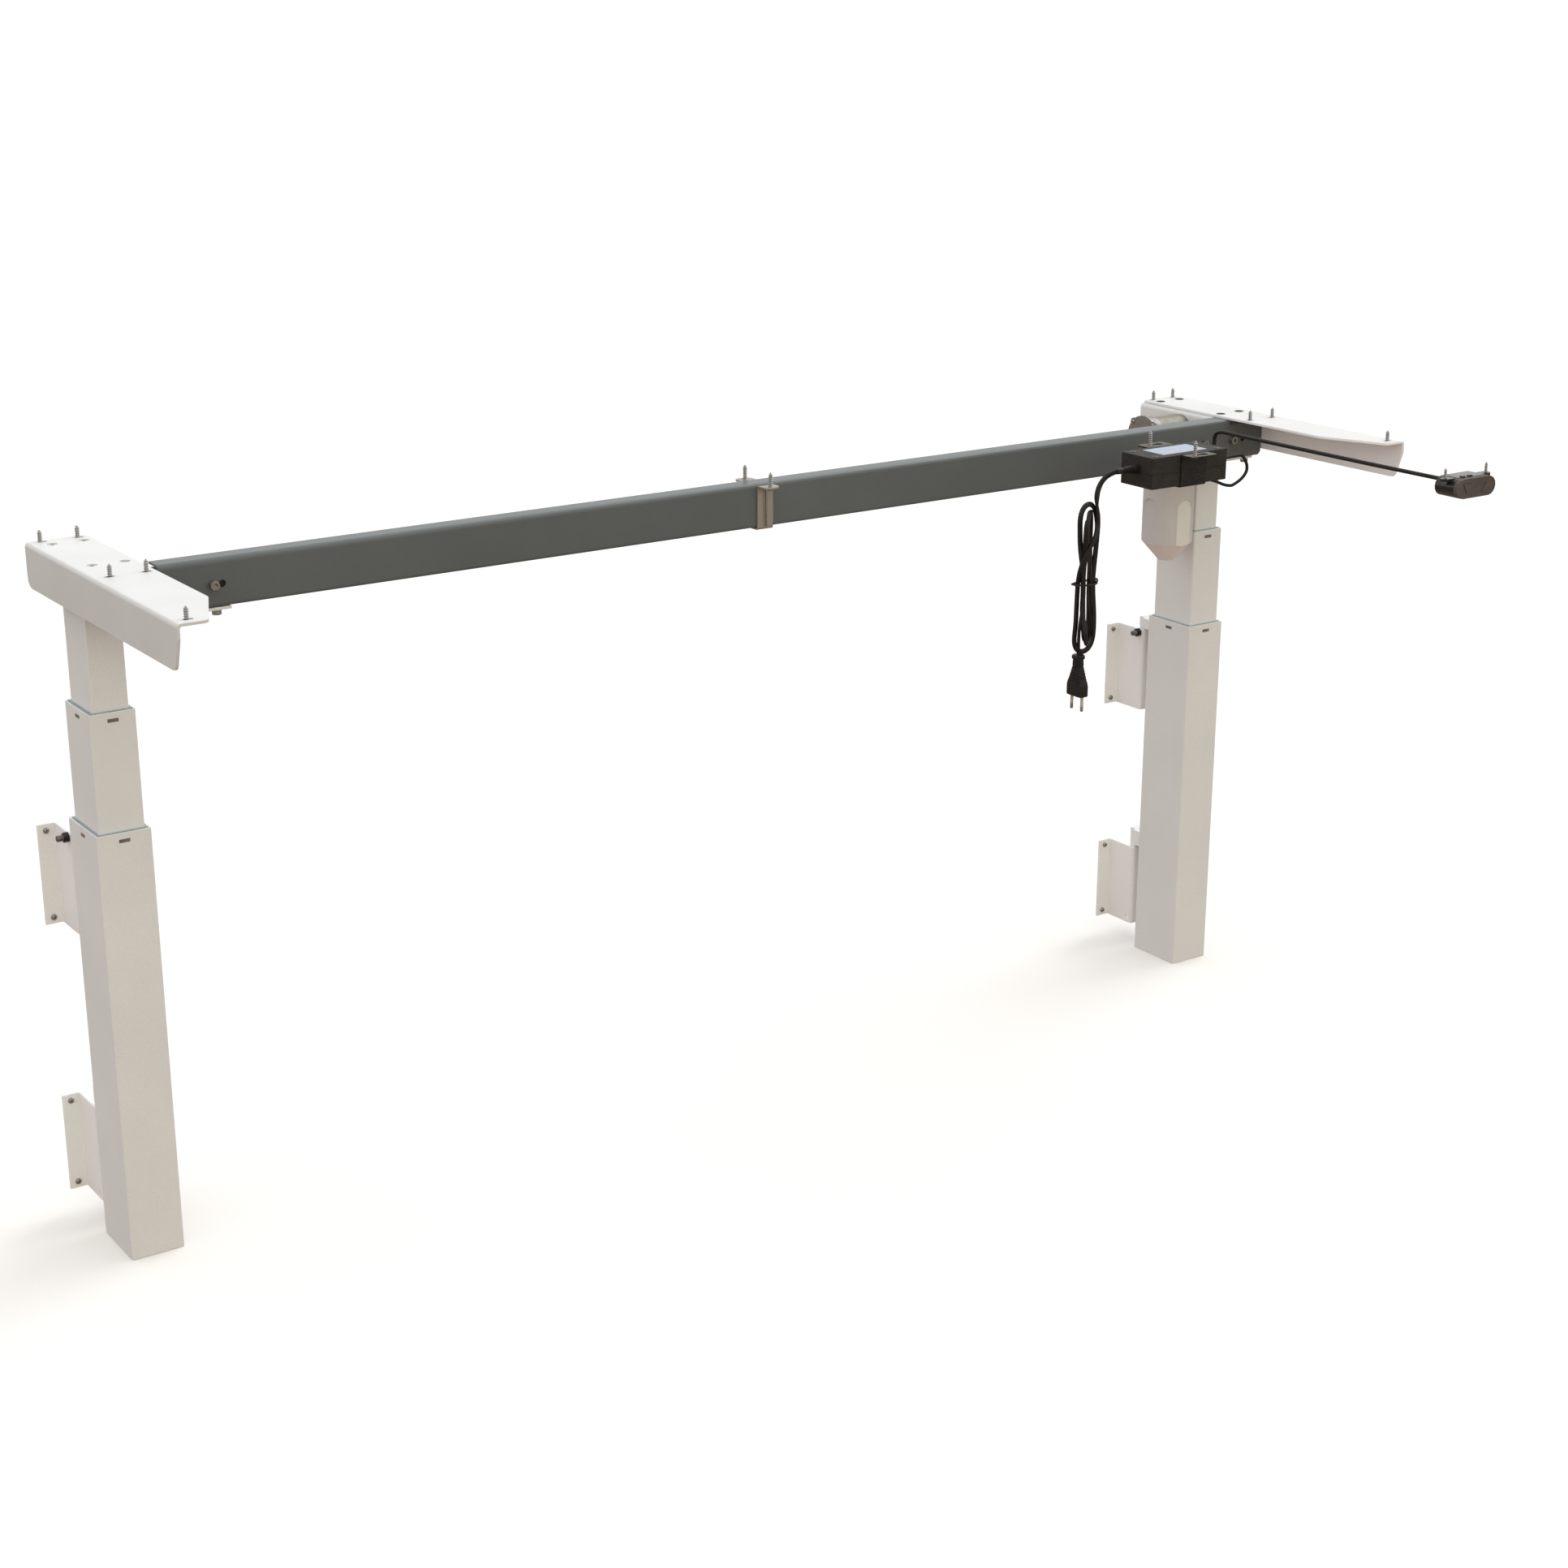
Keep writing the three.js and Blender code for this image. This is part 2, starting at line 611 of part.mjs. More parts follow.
function midClamp() {
  const front = BEAM.front - GAP - CLAMP.sheet / 2;
  const rear = BEAM.rear + 2 * GAP + CLAMP.sheet / 2;
  const low = BEAM.low - GAP - CLAMP.sheet / 2;
  const strap = bentSheet(
    [
      [CLAMP.front, CLAMP.mid],
      [front, CLAMP.mid],
      [front, low],
      [rear, low],
      [rear, CLAMP.mid],
      [CLAMP.rear, CLAMP.mid],
    ],
    CLAMP.sheet,
    2
  );
  const ridge = block(7.8, 12.5, front - 2.2, front, low + 3, CLAMP.mid - 4);
  const plan = rectangle(CLAMP.left, CLAMP.front, CLAMP.right, CLAMP.rear, 9);
  const rounded = common(
    prismX(strap, CLAMP.left, CLAMP.right),
    prismZ(plan, low - 5, CLAMP.mid + 5)
  );
  const hole = (x, y) => rod([x, y, CLAMP.mid - 3], [x, y, CLAMP.mid + 3], 2.7);
  const shaped = cut(join(rounded, ridge), hole(9.2, -210.5), hole(10.7, -155.5));
  return piece("mid_clamp", shaped, GALVANISED);
}

// ---------------------------------------------------------------------------
// Gear motor and cross shaft. The worm stands on the group's own axis; the wheel's axis runs
// along X, behind it.
// ---------------------------------------------------------------------------

const WHEEL_Y = COLUMN_Y - MOTOR.y;

function onWheelAxis(x) {
  return [x, WHEEL_Y, SHAFT_Z];
}

function gearHousing() {
  const end = COLUMN_X + HEAD.inner - GAP - MOTOR.x;
  const start = -11.4;
  const barrel = rod(onWheelAxis(start), onWheelAxis(end), GEAR_HOUSING_RADIUS, undefined, 28);
  const chamber = rod([0, 0, MOTOR.top + GAP], [0, 0, 757], 11.2, undefined, 20);
  const flange = rod([0, 0, MOTOR.top + GAP], [0, 0, MOTOR.top + 2.7], 33, undefined, 28);
  return cut(
    join(barrel, chamber, flange),
    rod(onWheelAxis(start - OVER), onWheelAxis(WHEEL.high + 1), 21.5, undefined, 24),
    rod(onWheelAxis(WHEEL.high), onWheelAxis(end + OVER), 8),
    rod([0, 0, MOTOR.top - OVER], [0, 0, 754], 8.6)
  );
}

function gearCover() {
  const start = -27.5;
  const end = -23.8;
  const lugs = [45, 135, 225, 315].map((degrees) => {
    const angle = THREE.MathUtils.degToRad(degrees);
    const y = WHEEL_Y + 27 * Math.cos(angle);
    const z = SHAFT_Z + 27 * Math.sin(angle);
    return rod([start, y, z], [end, y, z], 5);
  });
  const disc = rod(onWheelAxis(start), onWheelAxis(end), 29, undefined, 32);
  return cut(join(disc, ...lugs), rod(onWheelAxis(start - OVER), onWheelAxis(end + OVER), 7));
}

function bearingRing() {
  const ring = rod(onWheelAxis(-23.5), onWheelAxis(-11.7), 27, undefined, 32);
  return cut(ring, rod(onWheelAxis(-25), onWheelAxis(-10), 10));
}

function wormWheel() {
  const shape = new THREE.Shape();
  for (let tooth = 0; tooth < WHEEL.teeth; tooth += 1) {
    for (const [share, radius] of [[0, WHEEL.root], [0.3, WHEEL.tip], [0.6, WHEEL.tip], [0.9, WHEEL.root]]) {
      const angle = ((tooth + share) / WHEEL.teeth) * 2 * Math.PI;
      const y = WHEEL_Y + radius * Math.cos(angle);
      const z = SHAFT_Z + radius * Math.sin(angle);
      if (tooth === 0 && share === 0) {
        shape.moveTo(y, z);
      } else {
        shape.lineTo(y, z);
      }
    }
  }
  const hub = rod(onWheelAxis(-21), onWheelAxis(WHEEL.low + 1), 9.4, undefined, 20);
  const bore = rod(onWheelAxis(-23), onWheelAxis(WHEEL.high + 2), HEX_CORNER + GAP);
  return cut(join(prismX(shape, WHEEL.low, WHEEL.high), hub), bore);
}

// The worm is drawn as a row of ridges on the motor's shaft.
function worm() {
  const profile = [[0, 645], [WORM.shaft, 645], [WORM.shaft, WORM.low]];
  const root = WORM.radius - 2;
  for (let z = WORM.low; z < WORM.high - 0.1; z += WORM.pitch) {
    profile.push([root, z], [root, z + 1], [WORM.radius, z + 2], [WORM.radius, z + 2.8], [root, z + 3.8]);
  }
  profile.push([root, WORM.high], [WORM.shaft, WORM.high], [WORM.shaft, 753], [0, 753]);
  return turned(profile, 12);
}

function motorCan() {
  const can = rod([0, 0, 614], [0, 0, MOTOR.top - 0.2], 27, undefined, 28);
  return cut(can, rod([0, 0, 640], [0, 0, MOTOR.top + OVER], WORM.shaft + GAP));
}

function motorCover() {
  const inner = MOTOR.radius - MOTOR_WALL;
  const shell = turned(
    [
      [0, MOTOR.low],
      [MOTOR.nose, MOTOR.low],
      [MOTOR.radius, MOTOR.waist],
      [MOTOR.radius, MOTOR.top],
      [inner, MOTOR.top],
      [inner, MOTOR.waist + 1],
      [MOTOR.nose - 1, MOTOR.low + MOTOR_WALL],
      [0, MOTOR.low + MOTOR_WALL],
    ],
    36
  );
  const arch = new THREE.Shape();
  arch.moveTo(-MOTOR_FLAT.half, MOTOR_FLAT.low);
  arch.lineTo(MOTOR_FLAT.half, MOTOR_FLAT.low);
  arch.absarc(0, MOTOR_FLAT.high - MOTOR_FLAT.half, MOTOR_FLAT.half, 0, Math.PI);
  const cutter = prismY(arch, -MOTOR.radius - OVER, -MOTOR.radius + MOTOR_FLAT.depth);
  const cutters = [0, 1, 2, 3].map((quarter) => cutter.clone().rotateZ((quarter * Math.PI) / 2));
  return cut(shell, ...cutters);
}

function buildGearMotor() {
  const group = new THREE.Group();
  group.position.set(MOTOR.x, MOTOR.y, 0);
  group.add(
    piece("gear_housing", gearHousing(), HOUSING_METAL),
    piece("gear_cover", gearCover(), HOUSING_METAL),
    piece("bearing_ring", bearingRing(), GEAR_STEEL),
    piece("worm_wheel", wormWheel(), BRONZE),
    piece("worm", worm(), GEAR_STEEL),
    piece("motor", motorCan(), GEAR_STEEL),
    piece("motor_cover", motorCover(), WHITE_COAT)
  );
  return group;
}

// The hexagonal shaft that drives both spindles, with its two bevel pinions.
function driveShaft() {
  const at = (x) => [x, COLUMN_Y, SHAFT_Z];
  const parts = [];
  for (const side of [-1, 1]) {
    const x = (distance) => at(side * (COLUMN_X - distance));
    const near = BEVEL.near - BEVEL.play;
    const far = BEVEL.far - BEVEL.play;
    parts.push(rod(x(BEVEL.far), x(BEVEL.near), far, near, 20));
    parts.push(rod(x(BEVEL.back), x(BEVEL.far - 0.5), BEVEL.hub, undefined, 20));
  }
  return piece("drive_shaft", join(rod(at(-775), at(775), HEX_CORNER, undefined, 6), ...parts), GEAR_STEEL);
}

// ---------------------------------------------------------------------------
// Control box, its strap and its three leads
// ---------------------------------------------------------------------------

function buildControlBox() {
  const group = new THREE.Group();
  const outside = rectangle(BOX.left, BOX.front, BOX.right, BOX.rear, 2);
  const inside = rectangle(
    BOX.left + BOX_WALL, BOX.front + BOX_WALL,
    BOX.right - BOX_WALL, BOX.rear - BOX_WALL,
    1
  );
  const tray = cut(
    prismZ(outside, BOX.low, BOX_SEAM - GAP),
    prismZ(inside, BOX.low + BOX_WALL, BOX_SEAM + OVER)
  );
  const lid = cut(
    prismZ(outside, BOX_SEAM, BOX.high),
    prismZ(inside, BOX_SEAM - OVER, BOX.high - BOX_WALL)
  );
  group.add(piece("control_box", tray, BLACK_PLASTIC));
  group.add(piece("control_box_lid", lid, BLACK_PLASTIC));
  const board = block(BOX.left + 8, BOX.right - 8, BOX.front + 5, BOX.rear - 5, BOX.low + 8, BOX.low + 9.6);
  group.add(piece("control_board", board, BOARD_GREEN));
  group.add(boxStrap());
  const gland = turned(
    [[0, 0], [3.4, 0], [4, 2], [4.2, 20], [5.5, 22], [5.5, GLAND.length - GAP], [0, GLAND.length - GAP]],
    20
  );
  gland.rotateY(Math.PI / 2);
  const strainRelief = piece("cable_gland", gland, CORD_RUBBER);
  strainRelief.position.set(GLAND.x - GLAND.length, CORD_Y, GLAND.z);
  group.add(strainRelief);
  return group;
}

function boxStrap() {
  const half = STRAP.sheet / 2;
  const front = BOX.front - GAP - half;
  const rear = BOX.rear + GAP + half;
  const low = BOX.low - GAP - half;
  const tab = BOX.high - half;
  const profile = bentSheet(
    [[STRAP.front, tab], [front, tab], [front, low], [rear, low], [rear, tab], [STRAP.rear, tab]],
    STRAP.sheet,
    1.5
  );
  const plan = rectangle(STRAP.left, STRAP.front, STRAP.right, STRAP.rear, 4);
  const cutters = [];
  for (const y of [-357.8, -277.6]) {
    cutters.push(rod([543, y, tab - 3], [543, y, tab + 3], 4.5));
    cutters.push(prismZ(rectangle(525, y - 2.3, 543, y + 2.3, 2.2), tab - 3, tab + 3));
  }
  const body = common(prismX(profile, STRAP.left, STRAP.right), prismZ(plan, low - 5, BOX.high + 5));
  return piece("box_strap", cut(body, ...cutters), BLACK_STEEL);
}

// The mains lead: out of the gland, down into the tied hank, and on to the plug.
const MAINS_LEAD_ROUTE = [
  [GLAND.x - GLAND.length - GAP, CORD_Y, 758.7],
  [430, CORD_Y, 758.5],
  [425.5, CORD_Y, 757.8],
  [418.5, CORD_Y, 753.8],
  [413, CORD_Y, 747.5],
  [409.6, CORD_Y, 739],
  [408.9, CORD_Y, 731],
  [409.3, CORD_Y, HANK.high + GAP],
];

function mainsPlug() {
  const body = prismZ(rectangle(-7, -14, 7, 14, 4), 487.5, 504.5);
  const flare = outline([
    [-13.6, 504],
    [13.6, 504],
    [8.4, 521],
    [7.2, 536],
    [-7.2, 536],
    [-8.4, 521],
  ]);
  const neck = prismX(flare, -5.6, 5.6);
  const collar = rod([0, 0, 534], [0, 0, HANK.low - GAP], 9.2);
  const pins = [-9.3, 9.3].map((y) => rod([0, y, 468.5], [0, y, 489], 2));
  const plug = piece("mains_plug", join(body, neck, collar, ...pins), CORD_RUBBER);
  plug.position.set(PLUG_X, CORD_Y, 0);
  return plug;
}

function buildMainsLead() {
  const group = new THREE.Group();
  group.add(piece("mains_lead", cord(MAINS_LEAD_ROUTE, CORD_RADIUS, 10, 10), CORD_RUBBER));
  const stadium = rectangle(
    HANK.x - HANK.half, HANK.low,
    HANK.x + HANK.half, HANK.high,
    HANK.radius
  );
  const hank = prismY(stadium, CORD_Y - HANK.depth / 2, CORD_Y + HANK.depth / 2);
  group.add(piece("mains_hank", hank, CORD_RUBBER));
  const grip = 1.6;
  const ring = rectangle(
    HANK.x - HANK.half - GAP - grip, CORD_Y - HANK.depth / 2 - GAP - grip,
    HANK.x + HANK.half + GAP + grip, CORD_Y + HANK.depth / 2 + GAP + grip,
    2
  );
  ring.holes.push(
    rectangle(
      HANK.x - HANK.half - GAP, CORD_Y - HANK.depth / 2 - GAP,
      HANK.x + HANK.half + GAP, CORD_Y + HANK.depth / 2 + GAP
    )
  );
  group.add(piece("cord_tie", prismZ(ring, TIE_Z - 1.2, TIE_Z + 1.2), CORD_RUBBER));
  group.add(mainsPlug());
  return group;
}

const MOTOR_CABLE_ROUTE = [
  [BOX.right + GAP, -298, 746],
  [606, -298, 746],
  [625, -290, 745],
  [645, -277, 744],
  [666, -270.5, 743.6],
  [682, -270.5, 744.2],
  [689.7, -270.5, 744],
  [696.2, -270.5, 739.8],
  [702, -270.5, 729.9],
  [701.4, -270.5, 721.2],
  [694, -270.5, 713.5],
  [682.5, -270.5, 708],
  [675, -270.5, 706.6],
  [664, -269, 709],
  [655, -262, 713.5],
  [648, -248, 715],
  [646, -228, 713],
  [652, -206, 709.5],
  [668, -186, 706],
  [683, -175.5, 704],
  [688, -169.2, 703.5],
];

const HANDSET_CABLE_ROUTE = [
  [BOX.right + GAP, -312, 750],
  [606, -312, 750],
  [624, -300, 745],
  [640, -280, 738],
  [655, -252, 734],
  [670, -234, 735],
  [680, -226, 741],
  [686, -225.5, 750],
  [687, -225.5, 760],
  [687.2, -229, 766],
  [687.3, -238, 768.6],
  [687.4, -252, 769],
  [687.6, -300, 768.6],
  [688, -360, 768.4],
  [688.6, -430, 768.2],
  [689.4, -500, 768],
  [690.2, -560, 768],
  [691, HANDSET.rear + GAP, 768],
];

function leads() {
  return [
    piece("motor_cable", cord(MOTOR_CABLE_ROUTE, CABLE_RADIUS.motor, 8, 36), CORD_RUBBER),
    piece("handset_cable", cord(HANDSET_CABLE_ROUTE, CABLE_RADIUS.handset, 8, 36), CORD_RUBBER),
  ];
}

// ---------------------------------------------------------------------------
// Handset, built about the middle of its oval front
// ---------------------------------------------------------------------------

function oval(half, radius) {
  const shape = new THREE.Shape();
  const reach = half - radius;
  shape.absarc(reach, 0, radius, -Math.PI / 2, Math.PI / 2);
  shape.absarc(-reach, 0, radius, Math.PI / 2, (3 * Math.PI) / 2);
  return shape;
}

const BUTTON = { centre: 15.6, half: 7.6, height: 13.2, radius: 1.2 };

// A triangular button: the right one points up and the left one down.
function buttonShape(side, inset) {
  const centre = side * BUTTON.centre;
  const half = BUTTON.half - 1.7 * inset;
  const base = -side * (BUTTON.height / 2 - inset);
  const tip = side * (BUTTON.height / 2 - 1.9 * inset);
  return outline([
    [centre - half, base, BUTTON.radius],
    [centre + half, base, BUTTON.radius],
    [centre, tip, BUTTON.radius],
  ]);
}

const BUTTON_PLAY = 0.4;
const BUTTON_FACE = HANDSET.front - 0.8;

function handsetCase() {
  const low = HANDSET_BEZEL_REAR + GAP;
  const shell = prismY(oval(HANDSET.half, HANDSET.radius), low, HANDSET.rear);
  const cavity = prismY(oval(HANDSET.half - 2, HANDSET.radius - 2), low - OVER, HANDSET.rear - 2);
  const ears = [-1, 1].map((side) => {
    const edges = [side * 22, side * 36].sort((a, b) => a - b);
    const bar = block(edges[0], edges[1], -628, -617, 8, 11.5);
    const eye = rod([side * HANDSET_EAR, -622.5, 8], [side * HANDSET_EAR, -622.5, 11.5], 5.5);
    return join(bar, eye);
  });
  const holes = [-1, 1].map((side) =>
    rod([side * HANDSET_EAR, -622.5, 7], [side * HANDSET_EAR, -622.5, 13], 2.4)
  );
  return cut(join(cut(shell, cavity), ...ears), ...holes);
}

function handsetBezel() {
  const face = prismY(oval(HANDSET.half, HANDSET.radius), HANDSET.front, HANDSET_BEZEL_REAR);
  const holes = [-1, 1].map((side) =>
    prismY(buttonShape(side, 0), HANDSET.front - OVER, HANDSET_BEZEL_REAR + OVER)
  );
  return cut(face, ...holes);
}

function buildHandset() {
  const group = new THREE.Group();
  group.position.set(HANDSET.x, 0, HANDSET.z);
  const button = (side) =>
    prismY(buttonShape(side, BUTTON_PLAY), BUTTON_FACE, HANDSET_BEZEL_REAR - 1.3);
  group.add(
    piece("handset_case", handsetCase(), BLACK_PLASTIC),
    piece("handset_bezel", handsetBezel(), BEZEL_PLASTIC),
    piece("down_button", button(-1), BEZEL_PLASTIC),
    piece("up_button", button(1), BEZEL_PLASTIC)
  );
  return group;
}

// ---------------------------------------------------------------------------
// The whole frame
// ---------------------------------------------------------------------------

const deskFrame = new THREE.Group();
deskFrame.add(
  buildColumn("left"),
  buildColumn("right"),
  sideRail("left"),
  sideRail("right"),
  crossBeam(),
  ...WEB_SCREWS.map(([name, x]) => webScrew(name, x)),
  midClamp(),
  buildGearMotor(),
  driveShaft(),
  buildControlBox(),
  buildMainsLead(),
  ...leads(),
  buildHandset()
);

export default deskFrame;
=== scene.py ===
"""Looks for the wall-hung lifting desk frame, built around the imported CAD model.

It gives each CAD node its finish, replaces the plain cords, plug and tie by detailed ones, and
adds the screws, the label and the small fittings. Everything is in metres, in the CAD frame:
+X along the cross beam, +Y into the wall, +Z up.
"""

import json
import math

import bpy
from mathutils import Matrix, Vector


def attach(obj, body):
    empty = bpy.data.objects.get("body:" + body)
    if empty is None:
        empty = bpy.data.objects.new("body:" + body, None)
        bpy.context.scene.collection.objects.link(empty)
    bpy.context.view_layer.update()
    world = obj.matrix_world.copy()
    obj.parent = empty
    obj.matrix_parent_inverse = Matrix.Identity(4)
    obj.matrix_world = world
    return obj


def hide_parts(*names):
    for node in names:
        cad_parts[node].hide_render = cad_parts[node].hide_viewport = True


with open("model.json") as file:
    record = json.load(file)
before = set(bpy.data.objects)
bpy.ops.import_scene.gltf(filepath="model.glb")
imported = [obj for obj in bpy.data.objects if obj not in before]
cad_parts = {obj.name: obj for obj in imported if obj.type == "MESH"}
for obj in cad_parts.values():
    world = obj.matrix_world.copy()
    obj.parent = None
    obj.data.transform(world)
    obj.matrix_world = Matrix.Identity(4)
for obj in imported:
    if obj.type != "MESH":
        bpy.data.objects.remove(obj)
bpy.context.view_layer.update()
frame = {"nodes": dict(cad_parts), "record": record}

MM = 0.001

LIFT = "lift_frame"
WALL = "wall_side"
MIDDLE_STAGE = {-1: "left_middle_stage", 1: "right_middle_stage"}

# ---- Sizes in millimetres, as in the CAD source ----

COLUMN_X = 760.8
COLUMN_Y = -109.7
RAIL_TOP = 776.5
RAIL_SHEET = 3
BEAM_FRONT = -196.3
OUTER_TUBE = {"width": 60, "depth": 82, "high": 486.5}
MIDDLE_TUBE = {"width": 50, "depth": 72, "high": 615.4}
BOX = {"left": 471, "right": 593, "front": -346.5, "rear": -289.5, "high": 775}
HANDSET = {"x": 707.2, "z": 762.5, "radius": 11.5, "rear": -606}
CORD_Y = -318.5
GLAND_LENGTH = 33.8
PLUG_X = 388.6
TIE_Z = 627
HANK_X = 397.7

# ---- Materials ----


# Shares of a face's normal between which it starts to count as looking up, ahead or down; such
# faces take a painted lighter or darker tone for how light falls on them.
LOOKS_UP = (0.7, 0.9)
LOOKS_AHEAD = (0.997, 0.9985)
LOOKS_DOWN = (0.3, 0.5)


def spread(color, amount):
    """A darker and a lighter version of a colour."""
    return [tuple(min(1.0, c * (1 + k * amount)) for c in color) for k in (-1, 1)]


class Shader:
    """A Principled material whose colour, roughness and bump come from noise in object space."""

    def __init__(self, name, metallic=0.0, specular=0.5):
        self.material = bpy.data.materials.new(name)
        self.material.use_nodes = True
        self.tree = self.material.node_tree
        self.bsdf = self.tree.nodes["Principled BSDF"]
        self.bsdf.inputs["Metallic"].default_value = metallic
        self.bsdf.inputs["Specular IOR Level"].default_value = specular
        self.coordinates = self.add("ShaderNodeTexCoord").outputs["Object"]
        self.height = None

    def add(self, kind):
        return self.tree.nodes.new(kind)

    def link(self, output, socket):
        self.tree.links.new(output, socket)

    def stretched(self, scale):
        """Object coordinates, scaled by a vector."""
        mapping = self.add("ShaderNodeMapping")
        mapping.inputs["Scale"].default_value = scale
        self.link(self.coordinates, mapping.inputs["Vector"])
        return mapping.outputs["Vector"]

    def noise(self, scale, detail=3.0, stretch=None):
        node = self.add("ShaderNodeTexNoise")
        node.inputs["Scale"].default_value = scale
        node.inputs["Detail"].default_value = detail
        source = self.stretched(stretch) if stretch else self.coordinates
        self.link(source, node.inputs["Vector"])
        return node.outputs["Fac"]

    def ramp(self, value, stops):
        """A colour ramp; stops are (position, (r, g, b))."""
        node = self.add("ShaderNodeValToRGB")
        elements = node.color_ramp.elements
        while len(elements) < len(stops):
            elements.new(0.5)
        for element, (position, color) in zip(elements, stops):
            element.position = position
            element.color = (*color, 1.0)
        self.link(value, node.inputs["Fac"])
        return node.outputs["Color"]

    def color(self, output):
        self.link(output, self.bsdf.inputs["Base Color"])

    def mixed(self, factor, first, second, blend="MIX"):
        node = self.add("ShaderNodeMix")
        node.data_type = "RGBA"
        node.blend_type = blend
        if isinstance(factor, float):
            node.inputs[0].default_value = factor
        else:
            self.link(factor, node.inputs[0])
        self.link(first, node.inputs[6])
        self.link(second, node.inputs[7])
        return node.outputs[2]

    def facing(self, axis, sign, low, high):
        """From 0 to 1 as the face turns towards an axis: low and high are shares of its normal. It
        is the mask for painted light by facing.
        """
        geometry = self.add("ShaderNodeNewGeometry")
        split = self.add("ShaderNodeSeparateXYZ")
        self.link(geometry.outputs["True Normal"], split.inputs[0])
        node = self.add("ShaderNodeMapRange")
        node.inputs["From Min"].default_value = sign * low
        node.inputs["From Max"].default_value = sign * high
        self.link(split.outputs[axis], node.inputs["Value"])
        return node.outputs["Result"]

    def tone(self, value, color, variation=0.03):
        """A colour that grows a little darker and lighter with a noise value."""
        dark, light = spread(color, variation)
        return self.ramp(value, [(0.3, dark), (0.7, light)])

    def roughness(self, value, low, high):
        node = self.add("ShaderNodeMapRange")
        node.inputs["From Min"].default_value = 0.3
        node.inputs["From Max"].default_value = 0.7
        node.inputs["To Min"].default_value = low
        node.inputs["To Max"].default_value = high
        self.link(value, node.inputs["Value"])
        self.link(node.outputs["Result"], self.bsdf.inputs["Roughness"])

    def bump(self, value, strength, distance):
        node = self.add("ShaderNodeBump")
        node.inputs["Strength"].default_value = strength
        node.inputs["Distance"].default_value = distance
        self.link(value, node.inputs["Height"])
        if self.height is not None:
            self.link(self.height, node.inputs["Normal"])
        self.height = node.outputs["Normal"]
        self.link(self.height, self.bsdf.inputs["Normal"])


def powder_coat(name, color, roughness, variation=0.03, top=None):
    """Sprayed and baked coat: orange-peel bump, faint cloudy colour.

    Faces that look up take the colour top, where it is given: painted light, so that the lit top
    and the sides differ in tone."""
    shader = Shader(name)
    clouds = shader.noise(9, 4)
    grains = shader.noise(900, 2)
    base = shader.tone(clouds, color, variation)
    if top:
        # Painted light: a different tone on the faces that look up.
        base = shader.mixed(shader.facing("Z", 1, *LOOKS_UP), base, shader.tone(clouds, top))
    fine_dark, fine_light = spread((0.96, 0.96, 0.96), 0.035)
    fine = shader.ramp(grains, [(0.35, fine_dark), (0.65, fine_light)])
    shader.color(shader.mixed(1.0, base, fine, "MULTIPLY"))
    shader.roughness(grains, *roughness)
    shader.bump(grains, 0.25, 0.00005)
    return shader.material


def textured_plastic(
    name, color, fleck, roughness, grain=1100, depth=0.00012, fleck_share=0.64, top=None
):
    """Spark-eroded moulding: coarse matt grain with lighter glints on its tips.

    Faces that look up take the colour top, where it is given: a painted highlight on the lit top."""
    shader = Shader(name, specular=0.3)
    grains = shader.noise(grain, 2.5)
    patches = shader.noise(40, 3)
    edges = (fleck_share - 0.05, fleck_share + 0.03)
    glints = shader.ramp(grains, [(edges[0], (0, 0, 0)), (edges[1], (1, 1, 1))])
    tip = shader.ramp(patches, [(0.2, fleck), (0.8, spread(fleck, 0.25)[1])])
    base = shader.mixed(glints, shader.tone(patches, color, 0.22), tip)
    if top:
        # Painted highlight: a lighter tone for faces that look up.
        upper = shader.tone(patches, top, 0.15)
        base = shader.mixed(shader.facing("Z", 1, *LOOKS_UP), base, upper)
    shader.color(base)
    shader.roughness(grains, *roughness)
    shader.bump(grains, 0.6, depth)
    return shader.material


def smooth_plastic(
    name, color, roughness, variation=0.08, grain=500, depth=0.00003, flats=None, under=None
):
    """Plain moulding; flats and under are painted light: tones for faces that look forward and
    down.
    """
    shader = Shader(name)
    soft = shader.noise(60, 4)
    fine = shader.noise(grain, 2)
    base = shader.tone(soft, color, variation)
    if flats:
        # Painted light: the tone for faces that look forward.
        base = shader.mixed(shader.facing("Y", -1, *LOOKS_AHEAD), base, shader.tone(soft, flats))
    if under:
        # Painted light: the tone for faces that look down.
        base = shader.mixed(shader.facing("Z", -1, *LOOKS_DOWN), base, shader.tone(soft, under))
    shader.color(base)
    shader.roughness(fine, *roughness)
    shader.bump(fine, 0.2, depth)
    return shader.material


def metal(name, color, roughness, stretch=(1, 1, 1), grain=700):
    """Bare or plated metal; stretch draws the noise out along the machining marks."""
    shader = Shader(name, metallic=0.95)
    lines = shader.noise(grain, 3, stretch)
    patches = shader.noise(120, 3)
    cast = shader.ramp(patches, [(0.3, (0.86, 0.87, 0.9)), (0.7, (1.0, 1.0, 1.0))])
    shader.color(shader.mixed(1.0, shader.tone(lines, color, 0.12), cast, "MULTIPLY"))
    shader.roughness(patches, *roughness)
    shader.bump(lines, 0.25, 0.00002)
    return shader.material


def spangled(name, color):
    """Galvanised sheet: small crystal flakes of slightly different tone."""
    shader = Shader(name, metallic=0.75)
    cells = shader.add("ShaderNodeTexVoronoi")
    cells.inputs["Scale"].default_value = 700
    shader.link(shader.coordinates, cells.inputs["Vector"])
    dark, light = spread(color, 0.06)
    shade = shader.add("ShaderNodeSeparateColor")
    shader.link(cells.outputs["Color"], shade.inputs["Color"])
    shader.color(shader.ramp(shade.outputs["Red"], [(0.0, dark), (1.0, light)]))
    fine = shader.noise(900, 2)
    shader.roughness(fine, 0.38, 0.55)
    shader.bump(fine, 0.2, 0.00002)
    return shader.material


